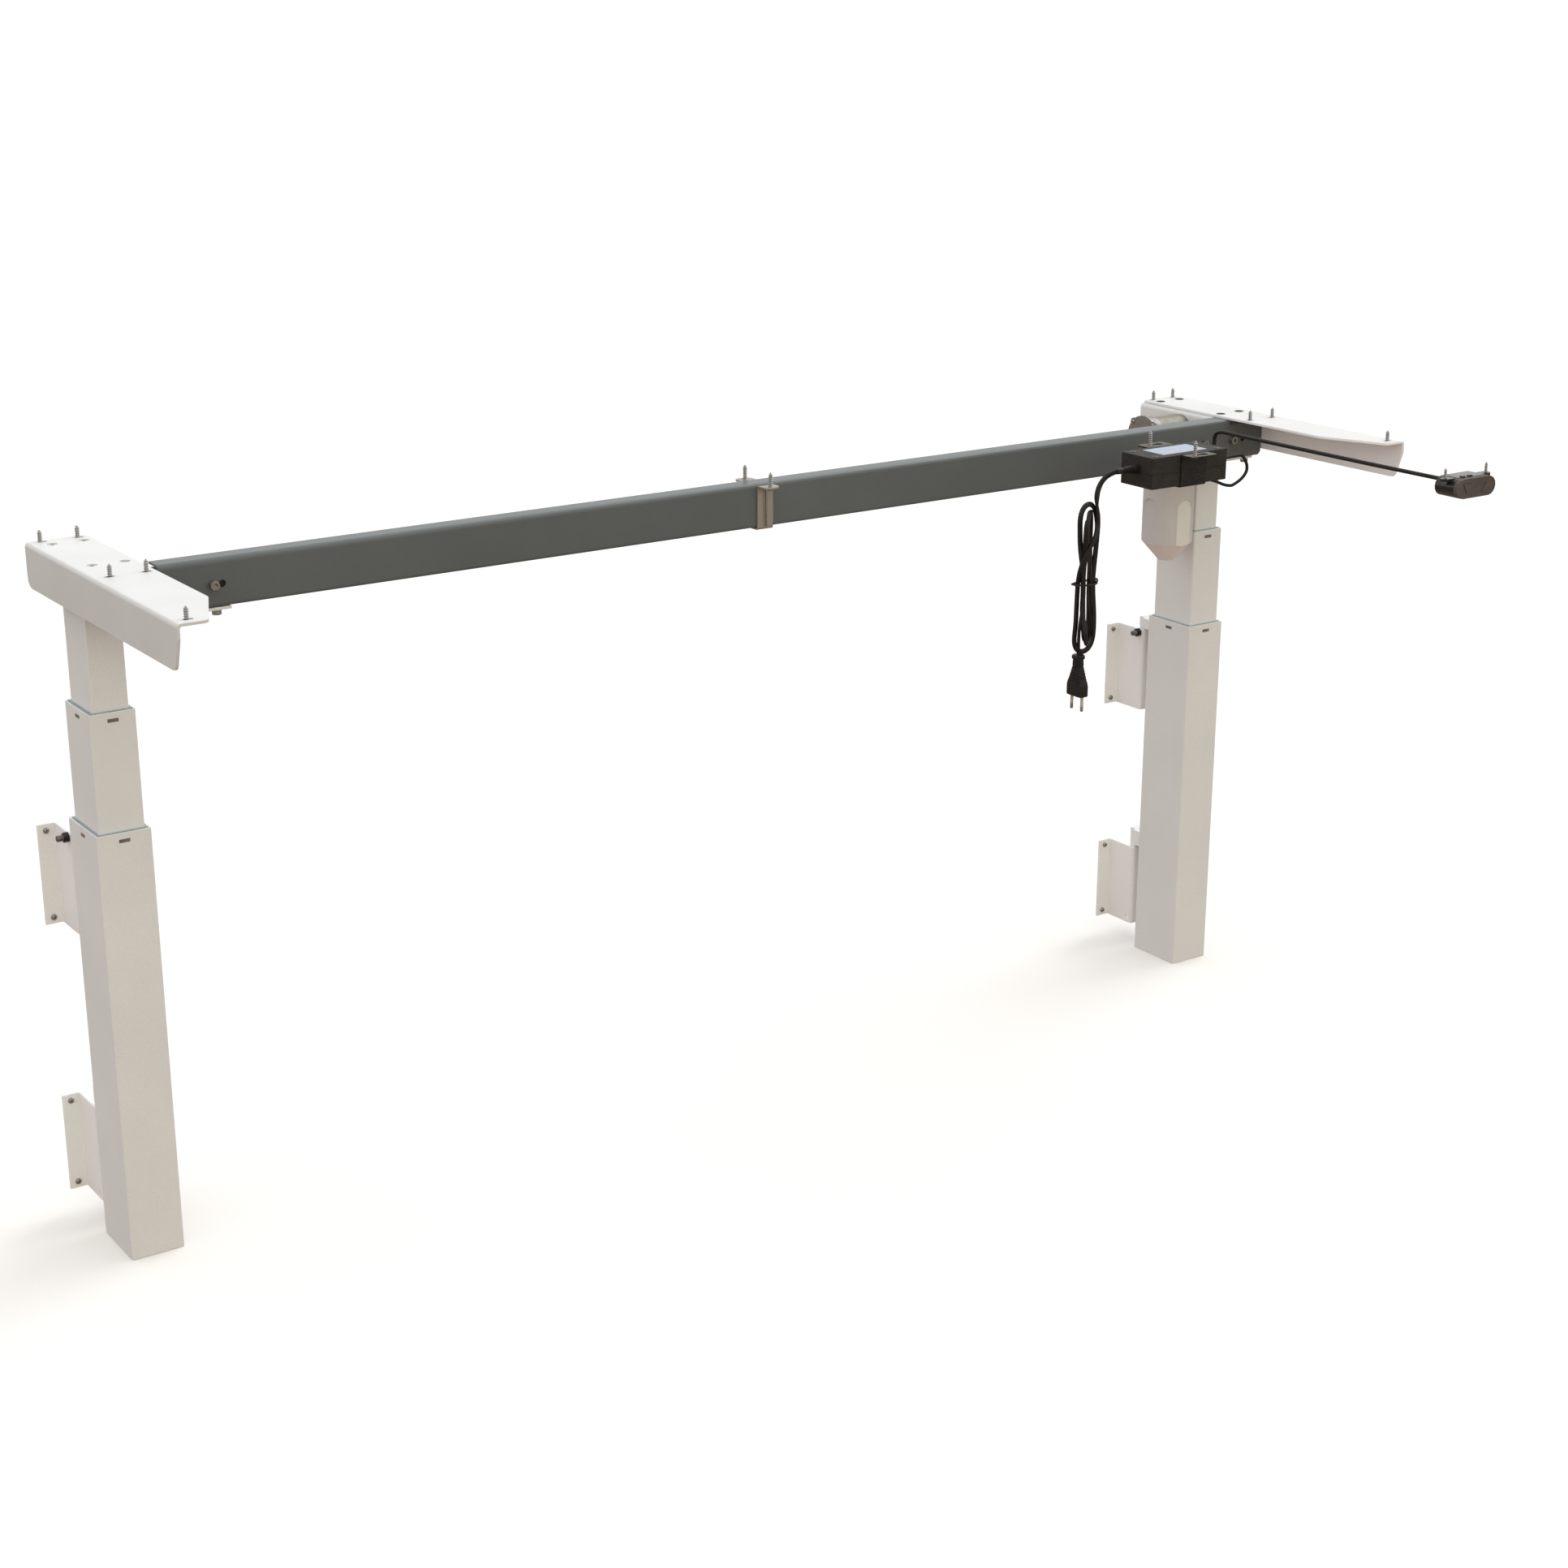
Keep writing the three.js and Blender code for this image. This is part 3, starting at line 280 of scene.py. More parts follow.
def cable_sheath(name, color):
    """Soft PVC sheath with a faint matt bloom."""
    shader = Shader(name, specular=0.3)
    bloom = shader.noise(180, 3)
    fine = shader.noise(1500, 2)
    shader.color(shader.tone(bloom, color, 0.25))
    shader.roughness(bloom, 0.38, 0.55)
    shader.bump(fine, 0.3, 0.00004)
    return shader.material


WHITE = (0.775, 0.775, 0.77)
COAT_ROUGHNESS = (0.42, 0.55)
WHITE_COAT = powder_coat("white_powder_coat", WHITE, COAT_ROUGHNESS)
# Painted shade and light: the rails keep the white top, but the left rail's sides are drawn darker
# and the right rail's sides lighter for how light falls on them.
LEFT_RAIL_SHADED_SIDES_COAT = powder_coat("left_rail_painted_shade", (0.67, 0.665, 0.66), COAT_ROUGHNESS, top=WHITE)
RIGHT_RAIL_LIT_SIDES_COAT = powder_coat("right_rail_painted_light", (0.93, 0.925, 0.93), COAT_ROUGHNESS, top=WHITE)
# Painted light: the brackets and hooks have the same white coat, drawn lighter for the shade they
# sit in.
BRACKET_LIT_COAT = powder_coat("bracket_coat_painted_light", (0.90, 0.895, 0.885), COAT_ROUGHNESS)
# Painted shade: near black for the shade down the middle hole of the rail plugs.
PLUG_HOLE_SHADE = smooth_plastic("plug_hole_painted_shade", (0.03, 0.03, 0.028), (0.4, 0.6), 0.2)
# Painted shade: near black caps stand for the shade inside the right rail's open holes.
HOLE_SHADE_CAP = smooth_plastic("hole_cap_painted_shade", (0.05, 0.047, 0.043), (0.55, 0.7), 0.15)
# Painted shade and light: the white cover's plastic is drawn a mid grey for the shade it sits in,
# and its forward flats and its underside take lighter painted tones.
COVER_PLASTIC = smooth_plastic(
    "cover_plastic_painted_light",
    (0.575, 0.553, 0.55),
    (0.4, 0.55),
    0.02,
    flats=(0.74, 0.735, 0.69),
    under=(0.80, 0.75, 0.74),
)
BEAM_COAT = powder_coat("grey_powder_coat", (0.108, 0.121, 0.124), (0.3, 0.42), 0.06)
ZINC = metal("zinc_plate", (0.40, 0.39, 0.375), (0.25, 0.45))
SCREW_STEEL = metal("screw_steel", (0.36, 0.35, 0.335), (0.3, 0.45))
SOCKET_ZINC = metal("socket_screw_plate", (0.42, 0.41, 0.37), (0.25, 0.4))
WALL_SCREW_STEEL = metal("dark_screw_steel", (0.33, 0.33, 0.32), (0.35, 0.5))
CLAMP_STEEL = spangled("galvanised_sheet", (0.40, 0.375, 0.325))
BOLT_END = metal("bare_bolt_end", (0.20, 0.19, 0.175), (0.35, 0.5))
BLACK_OXIDE = metal("black_oxide", (0.055, 0.053, 0.05), (0.35, 0.55))
LID_SCREW_STEEL = metal("lid_screw_steel", (0.11, 0.105, 0.10), (0.3, 0.5))
WINDOW_INSERT = smooth_plastic("window_insert", (0.13, 0.115, 0.10), (0.4, 0.55), 0.3, 900)
GLIDE_PLASTIC = smooth_plastic("acetal_glide", (0.30, 0.36, 0.385), (0.4, 0.55))
MACHINED_STEEL = metal("machined_steel", (0.50, 0.49, 0.475), (0.25, 0.42), (0.2, 1, 1), 900)
BRONZE = metal("gear_bronze", (0.55, 0.38, 0.17), (0.3, 0.45), (0.2, 1, 1), 800)
CAST_METAL = metal("cast_housing", (0.27, 0.26, 0.215), (0.45, 0.6), (0.1, 1, 1), 500)
COVER_METAL = metal("cast_cover", (0.315, 0.298, 0.282), (0.4, 0.55), (1, 1, 1), 600)
BOX_PLASTIC = textured_plastic(
    "box_plastic", (0.018, 0.0162, 0.0138), (0.09, 0.075, 0.055), (0.5, 0.75)
)
# Painted highlight: the black strap's faces that look up are drawn lighter, for the bright sky they
# catch.
STRAP_STEEL = textured_plastic(
    "strap_black_coat",
    (0.0075, 0.007, 0.0062),
    (0.075, 0.068, 0.055),
    (0.45, 0.7),
    700,
    0.0003,
    0.63,
    top=(0.12, 0.108, 0.09),
)
SHEATH = cable_sheath("cable_sheath", (0.0085, 0.0075, 0.0065))
PLUG_PLASTIC = cable_sheath("plug_plastic", (0.0085, 0.0075, 0.0068))
PIN_SLEEVE = smooth_plastic("pin_sleeve", (0.50, 0.42, 0.36), (0.45, 0.6))
PIN_METAL = metal("pin_metal", (0.42, 0.40, 0.38), (0.25, 0.4))
BEZEL_PLASTIC = textured_plastic(
    "bezel_plastic", (0.078, 0.064, 0.054), (0.12, 0.10, 0.085), (0.5, 0.65), 1500, 0.00005, 0.6
)
HANDSET_PLASTIC = smooth_plastic("handset_black", (0.016, 0.014, 0.013), (0.16, 0.3), 0.15)
# Painted reflection: the roof of the black handset is drawn grey-olive for the bright sky it
# reflects.
ROOF_PAINTED_REFLECTION = smooth_plastic("handset_roof_painted_reflection", (0.085, 0.088, 0.07), (0.2, 0.32), 0.1)
BOARD_GREEN = smooth_plastic("circuit_board", (0.02, 0.11, 0.05), (0.4, 0.6), 0.2, 1800, 0.00006)
LABEL_FILM = smooth_plastic("blank_label_film", (0.41, 0.468, 0.575), (0.45, 0.6), 0.02)

SLOT_FINISH = {
    "white_coat": WHITE_COAT,
    "beam_coat": BEAM_COAT,
    "zinc": SOCKET_ZINC,
    "galvanised": CLAMP_STEEL,
    "black_bolt": BLACK_OXIDE,
    "glide_plastic": GLIDE_PLASTIC,
    "gear_steel": MACHINED_STEEL,
    "bronze": BRONZE,
    "housing_metal": CAST_METAL,
    "black_plastic": BOX_PLASTIC,
    "black_steel": STRAP_STEEL,
    "cord_rubber": SHEATH,
    "bezel_plastic": BEZEL_PLASTIC,
    "board": BOARD_GREEN,
}
BRACKET_NODES = [
    f"{side}_{part}"
    for side in ("left", "right")
    for part in ("upper_wall_bracket", "lower_wall_bracket", "upper_hook", "lower_hook")
]
NODE_FINISH = {
    **{name: BRACKET_LIT_COAT for name in BRACKET_NODES},
    "motor_cover": COVER_PLASTIC,
    "left_side_rail": LEFT_RAIL_SHADED_SIDES_COAT,
    "right_side_rail": RIGHT_RAIL_LIT_SIDES_COAT,
    "gear_cover": COVER_METAL,
    "bearing_ring": COVER_METAL,
    "handset_case": HANDSET_PLASTIC,
}

# ---- CAD nodes: finish, and edges softened by modifiers only ----

SMOOTH_ANGLE = math.radians(32)
FACET_ANGLE = math.radians(13)
BEVEL_ANGLE = math.radians(40)
WELD_DISTANCE = 1e-6
EDGE_RADIUS = {"white_coat": 0.5, "galvanised": 0.3, "black_plastic": 0.7}
SQUARE_EDGED = ("glide", "bevel", "spindle", "shaft", "worm", "gear_housing", "bearing")


def smoothing_group(sharp_angle):
    """Geometry nodes that weld the mesh and shade it smooth, except across sharp edges."""
    group = bpy.data.node_groups.new("weld_and_smooth", "GeometryNodeTree")
    for way in ("INPUT", "OUTPUT"):
        group.interface.new_socket("Geometry", in_out=way, socket_type="NodeSocketGeometry")
    start = group.nodes.new("NodeGroupInput")
    end = group.nodes.new("NodeGroupOutput")
    weld = group.nodes.new("GeometryNodeMergeByDistance")
    weld.inputs["Distance"].default_value = WELD_DISTANCE
    faces = group.nodes.new("GeometryNodeSetShadeSmooth")
    faces.domain = "FACE"
    edges = group.nodes.new("GeometryNodeSetShadeSmooth")
    edges.domain = "EDGE"
    angle = group.nodes.new("GeometryNodeInputMeshEdgeAngle")
    blunt = group.nodes.new("FunctionNodeCompare")
    blunt.operation = "LESS_THAN"
    blunt.inputs[1].default_value = sharp_angle
    group.links.new(start.outputs[0], weld.inputs["Geometry"])
    group.links.new(weld.outputs["Geometry"], faces.inputs["Geometry"])
    group.links.new(faces.outputs["Geometry"], edges.inputs["Geometry"])
    group.links.new(angle.outputs["Unsigned Angle"], blunt.inputs[0])
    group.links.new(blunt.outputs[0], edges.inputs["Shade Smooth"])
    group.links.new(edges.outputs["Geometry"], end.inputs[0])
    return group


def finish_cad_nodes():
    usual = smoothing_group(SMOOTH_ANGLE)
    faceted = smoothing_group(FACET_ANGLE)
    slots = {part["node"]: part["material_slot"] for part in frame["record"]["subparts"]}
    for name, obj in frame["nodes"].items():
        finish = NODE_FINISH.get(name, SLOT_FINISH[slots[name]])
        for material_slot in obj.material_slots:
            material_slot.material = finish
        custom = obj.data.attributes.get("custom_normal")
        if custom is not None:
            obj.data.attributes.remove(custom)
        smooth = obj.modifiers.new("smooth", "NODES")
        smooth.node_group = faceted if name == "motor_cover" else usual
        width = EDGE_RADIUS.get(slots[name])
        if width and not any(word in name for word in SQUARE_EDGED):
            bevel = obj.modifiers.new("edges", "BEVEL")
            bevel.width = width * MM
            bevel.segments = 2
            bevel.limit_method = "ANGLE"
            bevel.angle_limit = BEVEL_ANGLE
        flatten = obj.modifiers.new("even_shading", "WEIGHTED_NORMAL")
        flatten.keep_sharp = True


# ---- Mesh building ----


def make_piece(name, verts, faces, finish, body, slot=None):
    """A mesh from points in millimetres, placed in the CAD frame, riding on a body."""
    mesh = bpy.data.meshes.new(name)
    mesh.from_pydata([Vector(v) * MM for v in verts], [], faces)
    mesh.validate()
    mesh.polygons.foreach_set("use_smooth", [True] * len(mesh.polygons))
    mesh.set_sharp_from_angle(angle=SMOOTH_ANGLE)
    mesh.materials.append(finish)
    obj = bpy.data.objects.new(name, mesh)
    bpy.context.scene.collection.objects.link(obj)
    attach(obj, body)
    return obj


def aimed(position, direction=(0, 0, 1)):
    """The placement of a turned shape: its axis runs from position along direction."""
    turn = Vector(direction).to_track_quat("Z", "Y").to_matrix().to_4x4()
    return Matrix.Translation(Vector(position)) @ turn


def skin(rings, count):
    """Faces over a stack of rings of count points each, closed at both ends."""
    faces = []
    for ring in range(rings - 1):
        for i in range(count):
            a = ring * count + i
            b = ring * count + (i + 1) % count
            faces.append((a, b, b + count, a + count))
    faces.append(tuple(reversed(range(count))))
    last = (rings - 1) * count
    faces.append(tuple(range(last, last + count)))
    return faces


def revolve(rings, segments, place):
    """A closed surface through rings of (height, radius); a radius may depend on the angle."""
    verts = []
    for height, radius in rings:
        for i in range(segments):
            angle = 2 * math.pi * i / segments
            r = radius(angle) if callable(radius) else radius
            verts.append(place @ Vector((r * math.cos(angle), r * math.sin(angle), height)))
    return verts, skin(len(rings), segments)


def merge(*shapes):
    """Several (verts, faces) as one."""
    verts = []
    faces = []
    for more_verts, more_faces in shapes:
        start = len(verts)
        verts.extend(more_verts)
        faces.extend(tuple(i + start for i in face) for face in more_faces)
    return verts, faces


def hexagon_radius(flats):
    """Radius of a regular hexagon, by angle, for a width across flats."""
    step = 2 * math.pi / 6

    def radius(angle):
        return flats / 2 / math.cos((angle % step) - step / 2)

    return radius


def slab(outline, low, high, chamfer):
    """An outline of (x, y) points from low to high, its top edge drawn in by a chamfer."""
    centre_x = sum(p[0] for p in outline) / len(outline)
    centre_y = sum(p[1] for p in outline) / len(outline)
    levels = [(low, 0.0), (high - chamfer, 0.0), (high, chamfer)]
    verts = []
    for height, inset in levels:
        for x, y in outline:
            away = Vector((x - centre_x, y - centre_y))
            scale = 1 - inset / away.length
            verts.append(Vector((centre_x + away.x * scale, centre_y + away.y * scale, height)))
    return verts, skin(len(levels), len(outline))


def rounded_rectangle(x0, y0, x1, y1, radius, steps=4):
    points = []
    corners = [(x1, y0, -90), (x1, y1, 0), (x0, y1, 90), (x0, y0, 180)]
    for x, y, start in corners:
        centre_x = x - radius if x == x1 else x + radius
        centre_y = y - radius if y == y1 else y + radius
        for k in range(steps + 1):
            angle = math.radians(start + 90 * k / steps)
            x_on_arc = centre_x + radius * math.cos(angle)
            points.append((x_on_arc, centre_y + radius * math.sin(angle)))
    return points


def smooth_path(points, steps):
    """Points along a Catmull-Rom curve through the route."""
    route = [Vector(p) for p in points]
    padded = [2 * route[0] - route[1], *route, 2 * route[-1] - route[-2]]
    path = []
    for i in range(len(route) - 1):
        p0, p1, p2, p3 = padded[i : i + 4]
        for k in range(steps):
            t = k / steps
            path.append(
                0.5
                * (
                    2 * p1
                    + (p2 - p0) * t
                    + (2 * p0 - 5 * p1 + 4 * p2 - p3) * t * t
                    + (3 * p1 - p0 - 3 * p2 + p3) * t * t * t
                )
            )
    path.append(route[-1])
    return path


def tube(path, section, thin=(0, 1, 0), twist=None):
    """A cord: section points (wide, thin) carried along the path without unwanted twist."""
    tangents = []
    for i in range(len(path)):
        before = path[max(i - 1, 0)]
        after = path[min(i + 1, len(path) - 1)]
        tangents.append((after - before).normalized())
    thin = Vector(thin)
    verts = []
    faces = []
    count = len(section)
    for i, (point, tangent) in enumerate(zip(path, tangents)):
        thin = (thin - tangent * thin.dot(tangent)).normalized()
        wide = thin.cross(tangent)
        angle = twist(i / (len(path) - 1)) if twist else 0.0
        for u, v in section:
            turned_u = u * math.cos(angle) - v * math.sin(angle)
            turned_v = u * math.sin(angle) + v * math.cos(angle)
            verts.append(point + wide * turned_u + thin * turned_v)
    for ring in range(len(path) - 1):
        for i in range(count):
            a = ring * count + i
            b = ring * count + (i + 1) % count
            faces.append((a, a + count, b + count, b))
    faces.append(tuple(range(count)))
    last = (len(path) - 1) * count
    faces.append(tuple(reversed(range(last, last + count))))
    return verts, faces


def circle(radius, count=14):
    return [
        (radius * math.cos(2 * math.pi * i / count), radius * math.sin(2 * math.pi * i / count))
        for i in range(count)
    ]


def signed_power(value, power):
    """A power that keeps the sign of its base."""
    return math.copysign(abs(value) ** power, value)


def twin_section(width, thickness, count=22):
    """The section of a flat twin cord: two round cores side by side with a shallow waist."""
    points = []
    for i in range(count):
        angle = 2 * math.pi * i / count
        waist = 1 - 0.14 * abs(math.sin(angle)) ** 6
        u = width / 2 * signed_power(math.cos(angle), 0.85)
        v = thickness / 2 * signed_power(math.sin(angle), 0.7) * waist
        points.append((u, v))
    return points


# ---- Camera ----


LENS = 59.69
CAMERA_PLACE = (-1.6386, -2.6376, 1.3686)
CAMERA_TILT = 71.975
CAMERA_TURN = -34.473


def make_camera():
    data = bpy.data.cameras.new("camera")
    data.lens = LENS
    data.sensor_width = 36
    data.clip_end = 400
    data.clip_start = 0.05
    camera = bpy.data.objects.new("camera", data)
    camera.location = CAMERA_PLACE
    camera.rotation_euler = (math.radians(CAMERA_TILT), 0, math.radians(CAMERA_TURN))
    bpy.context.scene.collection.objects.link(camera)
    bpy.context.scene.camera = camera


# ---- Cords ----

TWIN_WIDTH = 6.5
TWIN_THICKNESS = 4.5
TWIN_DIAMETER = 5.0
MAINS_LENGTH = 1.8
MOTOR_DIAMETER = 4.0
MOTOR_LENGTH = 0.31
HANDSET_DIAMETER = 5.0
HANDSET_LENGTH = 0.55

GLAND_Z = 758.7
MAINS_LEAD_ROUTE = [
    (BOX["left"] - GLAND_LENGTH - 0.3, CORD_Y, GLAND_Z),
    (433.0, CORD_Y, 758.4),
    (426.6, CORD_Y, 756.9),
    (419.4, CORD_Y, 753.3),
    (413.8, CORD_Y, 748.1),
    (410.2, CORD_Y, 741.5),
    (408.4, CORD_Y, 734),
    (408.2, CORD_Y, 726),
    (408.9, CORD_Y - 1, 718),
    (409.8, CORD_Y - 2, 709),
    (410.3, CORD_Y - 2, 696),
    (409.2, CORD_Y - 1, 667),
    (407.6, CORD_Y, 640),
    (407.2, CORD_Y, 627),
    (408.4, CORD_Y, 610),
    (410.6, CORD_Y, 590),
    (411.4, CORD_Y, 574),
]
# The first strand up the left side crosses the front to the upper right.
CROSSING_STRAND = [
    (380.6, CORD_Y - 2, 576),
    (381.8, CORD_Y - 1, 592),
    (383.0, CORD_Y, 612),
    (382.6, CORD_Y - 1, 628),
    (381.8, CORD_Y - 4, 642),
    (383.0, CORD_Y - 7, 654),
    (386.4, CORD_Y - 9.5, 664),
    (390.8, CORD_Y - 10.8, 672.5),
    (396.6, CORD_Y - 10.5, 680),
    (402.6, CORD_Y - 8.0, 686.6),
    (407.6, CORD_Y - 3.8, 693.2),
    (410.8, CORD_Y + 0.8, 700.8),
]
# Then, over the top, it comes down the outside of the left and crosses to the inner turns.
LEFT_STRAND = [
    (380.8, CORD_Y - 4, 690),
    (381.2, CORD_Y - 4.5, 676),
    (383.2, CORD_Y - 5.5, 660),
    (385.8, CORD_Y - 6, 645),
    (387.4, CORD_Y - 5.5, 627),
    (387.6, CORD_Y - 5.5, 608),
    (387.0, CORD_Y - 6, 590),
]
# The last strand comes out of the inner turns to the plug.
LAST_STRAND = [
    (387.4, CORD_Y - 7, 604),
    (384.2, CORD_Y - 6.5, 586),
    (383.8, CORD_Y - 5, 568),
    (386.4, CORD_Y - 2, 553),
    (PLUG_X, CORD_Y, 541.7),
    (PLUG_X, CORD_Y, 532.7),
]
FOLD_STEPS = 8
# Folds: middle in x, middle behind the cord plane, extreme height, turn about Z, radius.
OUTER_BOTTOM = (395.6, 0.0, 540.5, 6, 17.0)
OUTER_TOP = (395.6, 0.0, 725.2, 15, 16.6)
INNER_TOPS = [
    (396.0, -2.6, 714.8, 43, 16.6),
    (395.0, 0.6, 703.0, 43, 16.6),
    (402.2, 3.0, 714.0, 43, 16.6),
]
INNER_BOTTOMS = [
    (399.8, -3.4, 550.6, 38, 16.6),
    (399.4, 0.6, 555.4, 38, 16.6),
    (401.6, 4.6, 560.2, 38, 16.6),
]
# Where the inner strands pass the tie: (x, behind the cord plane) from the middle of the hank.
TIE_PLACES_UP = [(2.9, -2.8), (5.4, 1.8), (8.2, 6.4)]
TIE_PLACES_DOWN = [(-4.2, 1.4), (-1.4, 6.0), (-9.6, -5.4)]
PLUG_TOP = 538.7

MOTOR_CABLE_ROUTE = [
    (BOX["right"] + 0.3, -298, 746),
    (606, -298, 746),
    (625, -290, 745),
    (645, -277, 744),
    (666, -270.5, 743.6),
    (682, -270.5, 744.2),
    (689.7, -270.5, 744),
    (696.2, -270.5, 739.8),
    (702, -270.5, 729.9),
    (701.4, -270.5, 721.2),
    (694, -270.5, 713.5),
    (682.5, -270.5, 708),
    (675, -270.5, 706.6),
    (664, -269, 709),
    (655, -262, 713.5),
    (648, -248, 715),
    (646, -228, 713),
    (652, -206, 709.5),
    (668, -186, 706),
    (683, -175.5, 704),
    (688, -169.2, 703.5),
]
HANDSET_CABLE_ROUTE = [
    (BOX["right"] + 0.3, -312, 750),
    (606, -312, 750),
    (624, -300, 745),
    (640, -280, 738),
    (655, -252, 734),
    (670, -234, 735),
    (680, -226, 741),
    (686, -225.5, 750),
    (687, -225.5, 760),
    (687.2, -229, 766),
    (687.3, -238, 768.6),
    (687.4, -252, 769),
    (687.6, -300, 768.6),
    (688, -360, 768.4),
    (688.6, -430, 768.2),
    (689.4, -500, 768),
    (690.2, -560, 768),
    (691, HANDSET["rear"] + 0.3, 768),
]


def fold(middle, upward):
    """A half circle: over the top from right to left, or under the bottom to the right."""
    x, depth, extreme, turn, radius = middle
    sign = 1 if upward else -1
    across = Vector((math.cos(math.radians(turn)), math.sin(math.radians(turn)), 0))
    centre = Vector((x, CORD_Y + depth, extreme - sign * radius))
    points = []
    for k in range(FOLD_STEPS + 1):
        angle = math.pi * k / FOLD_STEPS
        rise = Vector((0, 0, sign * radius * math.sin(angle)))
        points.append(centre + across * radius * math.cos(angle) * sign + rise)
    return points


def strand(start, end, tie_place):
    """Points from fold to fold, drawn together where the tie holds the strands."""
    tie = Vector((HANK_X + tie_place[0], CORD_Y + tie_place[1], TIE_Z))
    points = []
    for first, last in ((start, tie), (tie, end)):
        for step in range(1, 7):
            share = step / 6
            ease = share * share * (3 - 2 * share)
            point = first + (last - first) * ease
            point.z = first.z + (last.z - first.z) * share
            points.append(point)
    return points[:-1]


def hank_route():
    """An outer turn, three inner turns and the strand to the plug."""
    route = list(reversed(fold(OUTER_BOTTOM, False)))
    route += [Vector(p) for p in CROSSING_STRAND]
    route += fold(OUTER_TOP, True)
    route += [Vector(p) for p in LEFT_STRAND]
    for index, bottom in enumerate(INNER_BOTTOMS):
        under = fold(bottom, False)
        over = fold(INNER_TOPS[index], True)
        route += under
        route += strand(under[-1], over[0], TIE_PLACES_UP[index])
        route += over
        if index + 1 < len(INNER_BOTTOMS):
            following = fold(INNER_BOTTOMS[index + 1], False)
            route += strand(over[-1], following[0], TIE_PLACES_DOWN[index])
        else:
            route += strand(over[-1], Vector(LAST_STRAND[0]), TIE_PLACES_DOWN[index])[:6]
    route += [Vector(p) for p in LAST_STRAND]
    return route


def relaxed(path, spacing=3.0, passes=10):
    """The path with even spacing and its small kinks smoothed out; the ends stay."""
    even = [path[0]]
    carried = 0.0
    for a, b in zip(path, path[1:]):
        length = (b - a).length
        while length > 0 and carried + length >= spacing:
            a = a + (b - a) * ((spacing - carried) / length)
            length = (b - a).length
            even.append(a)
            carried = 0.0
        carried += length
    if (even[-1] - path[-1]).length < spacing / 2:
        even.pop()
    even.append(path[-1])
    for _ in range(passes):
        inner = [(a + b * 2 + c) * 0.25 for a, b, c in zip(even, even[1:], even[2:])]
        even = [even[0], *inner, even[-1]]
    return even


def declared_cord(
    name, path, section, exit_point, length, diameter, replaced, pieces, thin=(0, 1, 0), twist=None,
    **facts,
):
    """A cord drawn as one tube along its path, in place of the parts it hides; its facts are not
    used.
    """
    verts, faces = tube(path, section, thin, twist)
    cord = make_piece(name, verts, faces, SHEATH, LIFT, "cord_rubber")
    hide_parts(*replaced)
    return cord


def lead_twist(share):
    """The flat lead turns over once between the gland and the hank."""
    turn = (share - 0.012) / 0.03
    turn = max(0.0, min(1.0, turn))
    return math.pi * turn * turn * (3 - 2 * turn)


def strain_relief():
    """Tapered, ribbed relief where the mains lead leaves the box."""
    rings = [(0, 6.6), (1.6, 6.6), (1.9, 5.9), (7, 5.6)]
    for rib in range(5):
        start = 7.5 + rib * 3.1
        outer = 5.5 - 0.22 * rib
        rings += [(start, outer), (start + 1.9, outer - 0.08), (start + 2.1, outer - 0.9)]
        rings.append((start + 2.9, outer - 0.95))
    rings += [(24, 3.9), (GLAND_LENGTH - 1.2, 3.5), (GLAND_LENGTH, 3.1)]
    verts, faces = revolve(rings, 26, aimed((BOX["left"], CORD_Y, GLAND_Z), (-1, 0, 0)))
    piece = make_piece("strain_relief", verts, faces, PLUG_PLASTIC, LIFT, "cord_rubber")
    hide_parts("cable_gland")
    return piece


def superellipse(half_x, half_y, power, count=28):
    points = []
    for i in range(count):
        angle = 2 * math.pi * i / count
        x = half_x * signed_power(math.cos(angle), 2 / power)
        y = half_y * signed_power(math.sin(angle), 2 / power)
        points.append((x, y))
    return points


def lofted(levels, place):
    """A closed surface through outlines of equal count: (height, [(x, y), ...])."""
    verts = []
    for height, outline in levels:
        verts.extend(place @ Vector((x, y, height)) for x, y in outline)
    return verts, skin(len(levels), len(levels[0][1]))


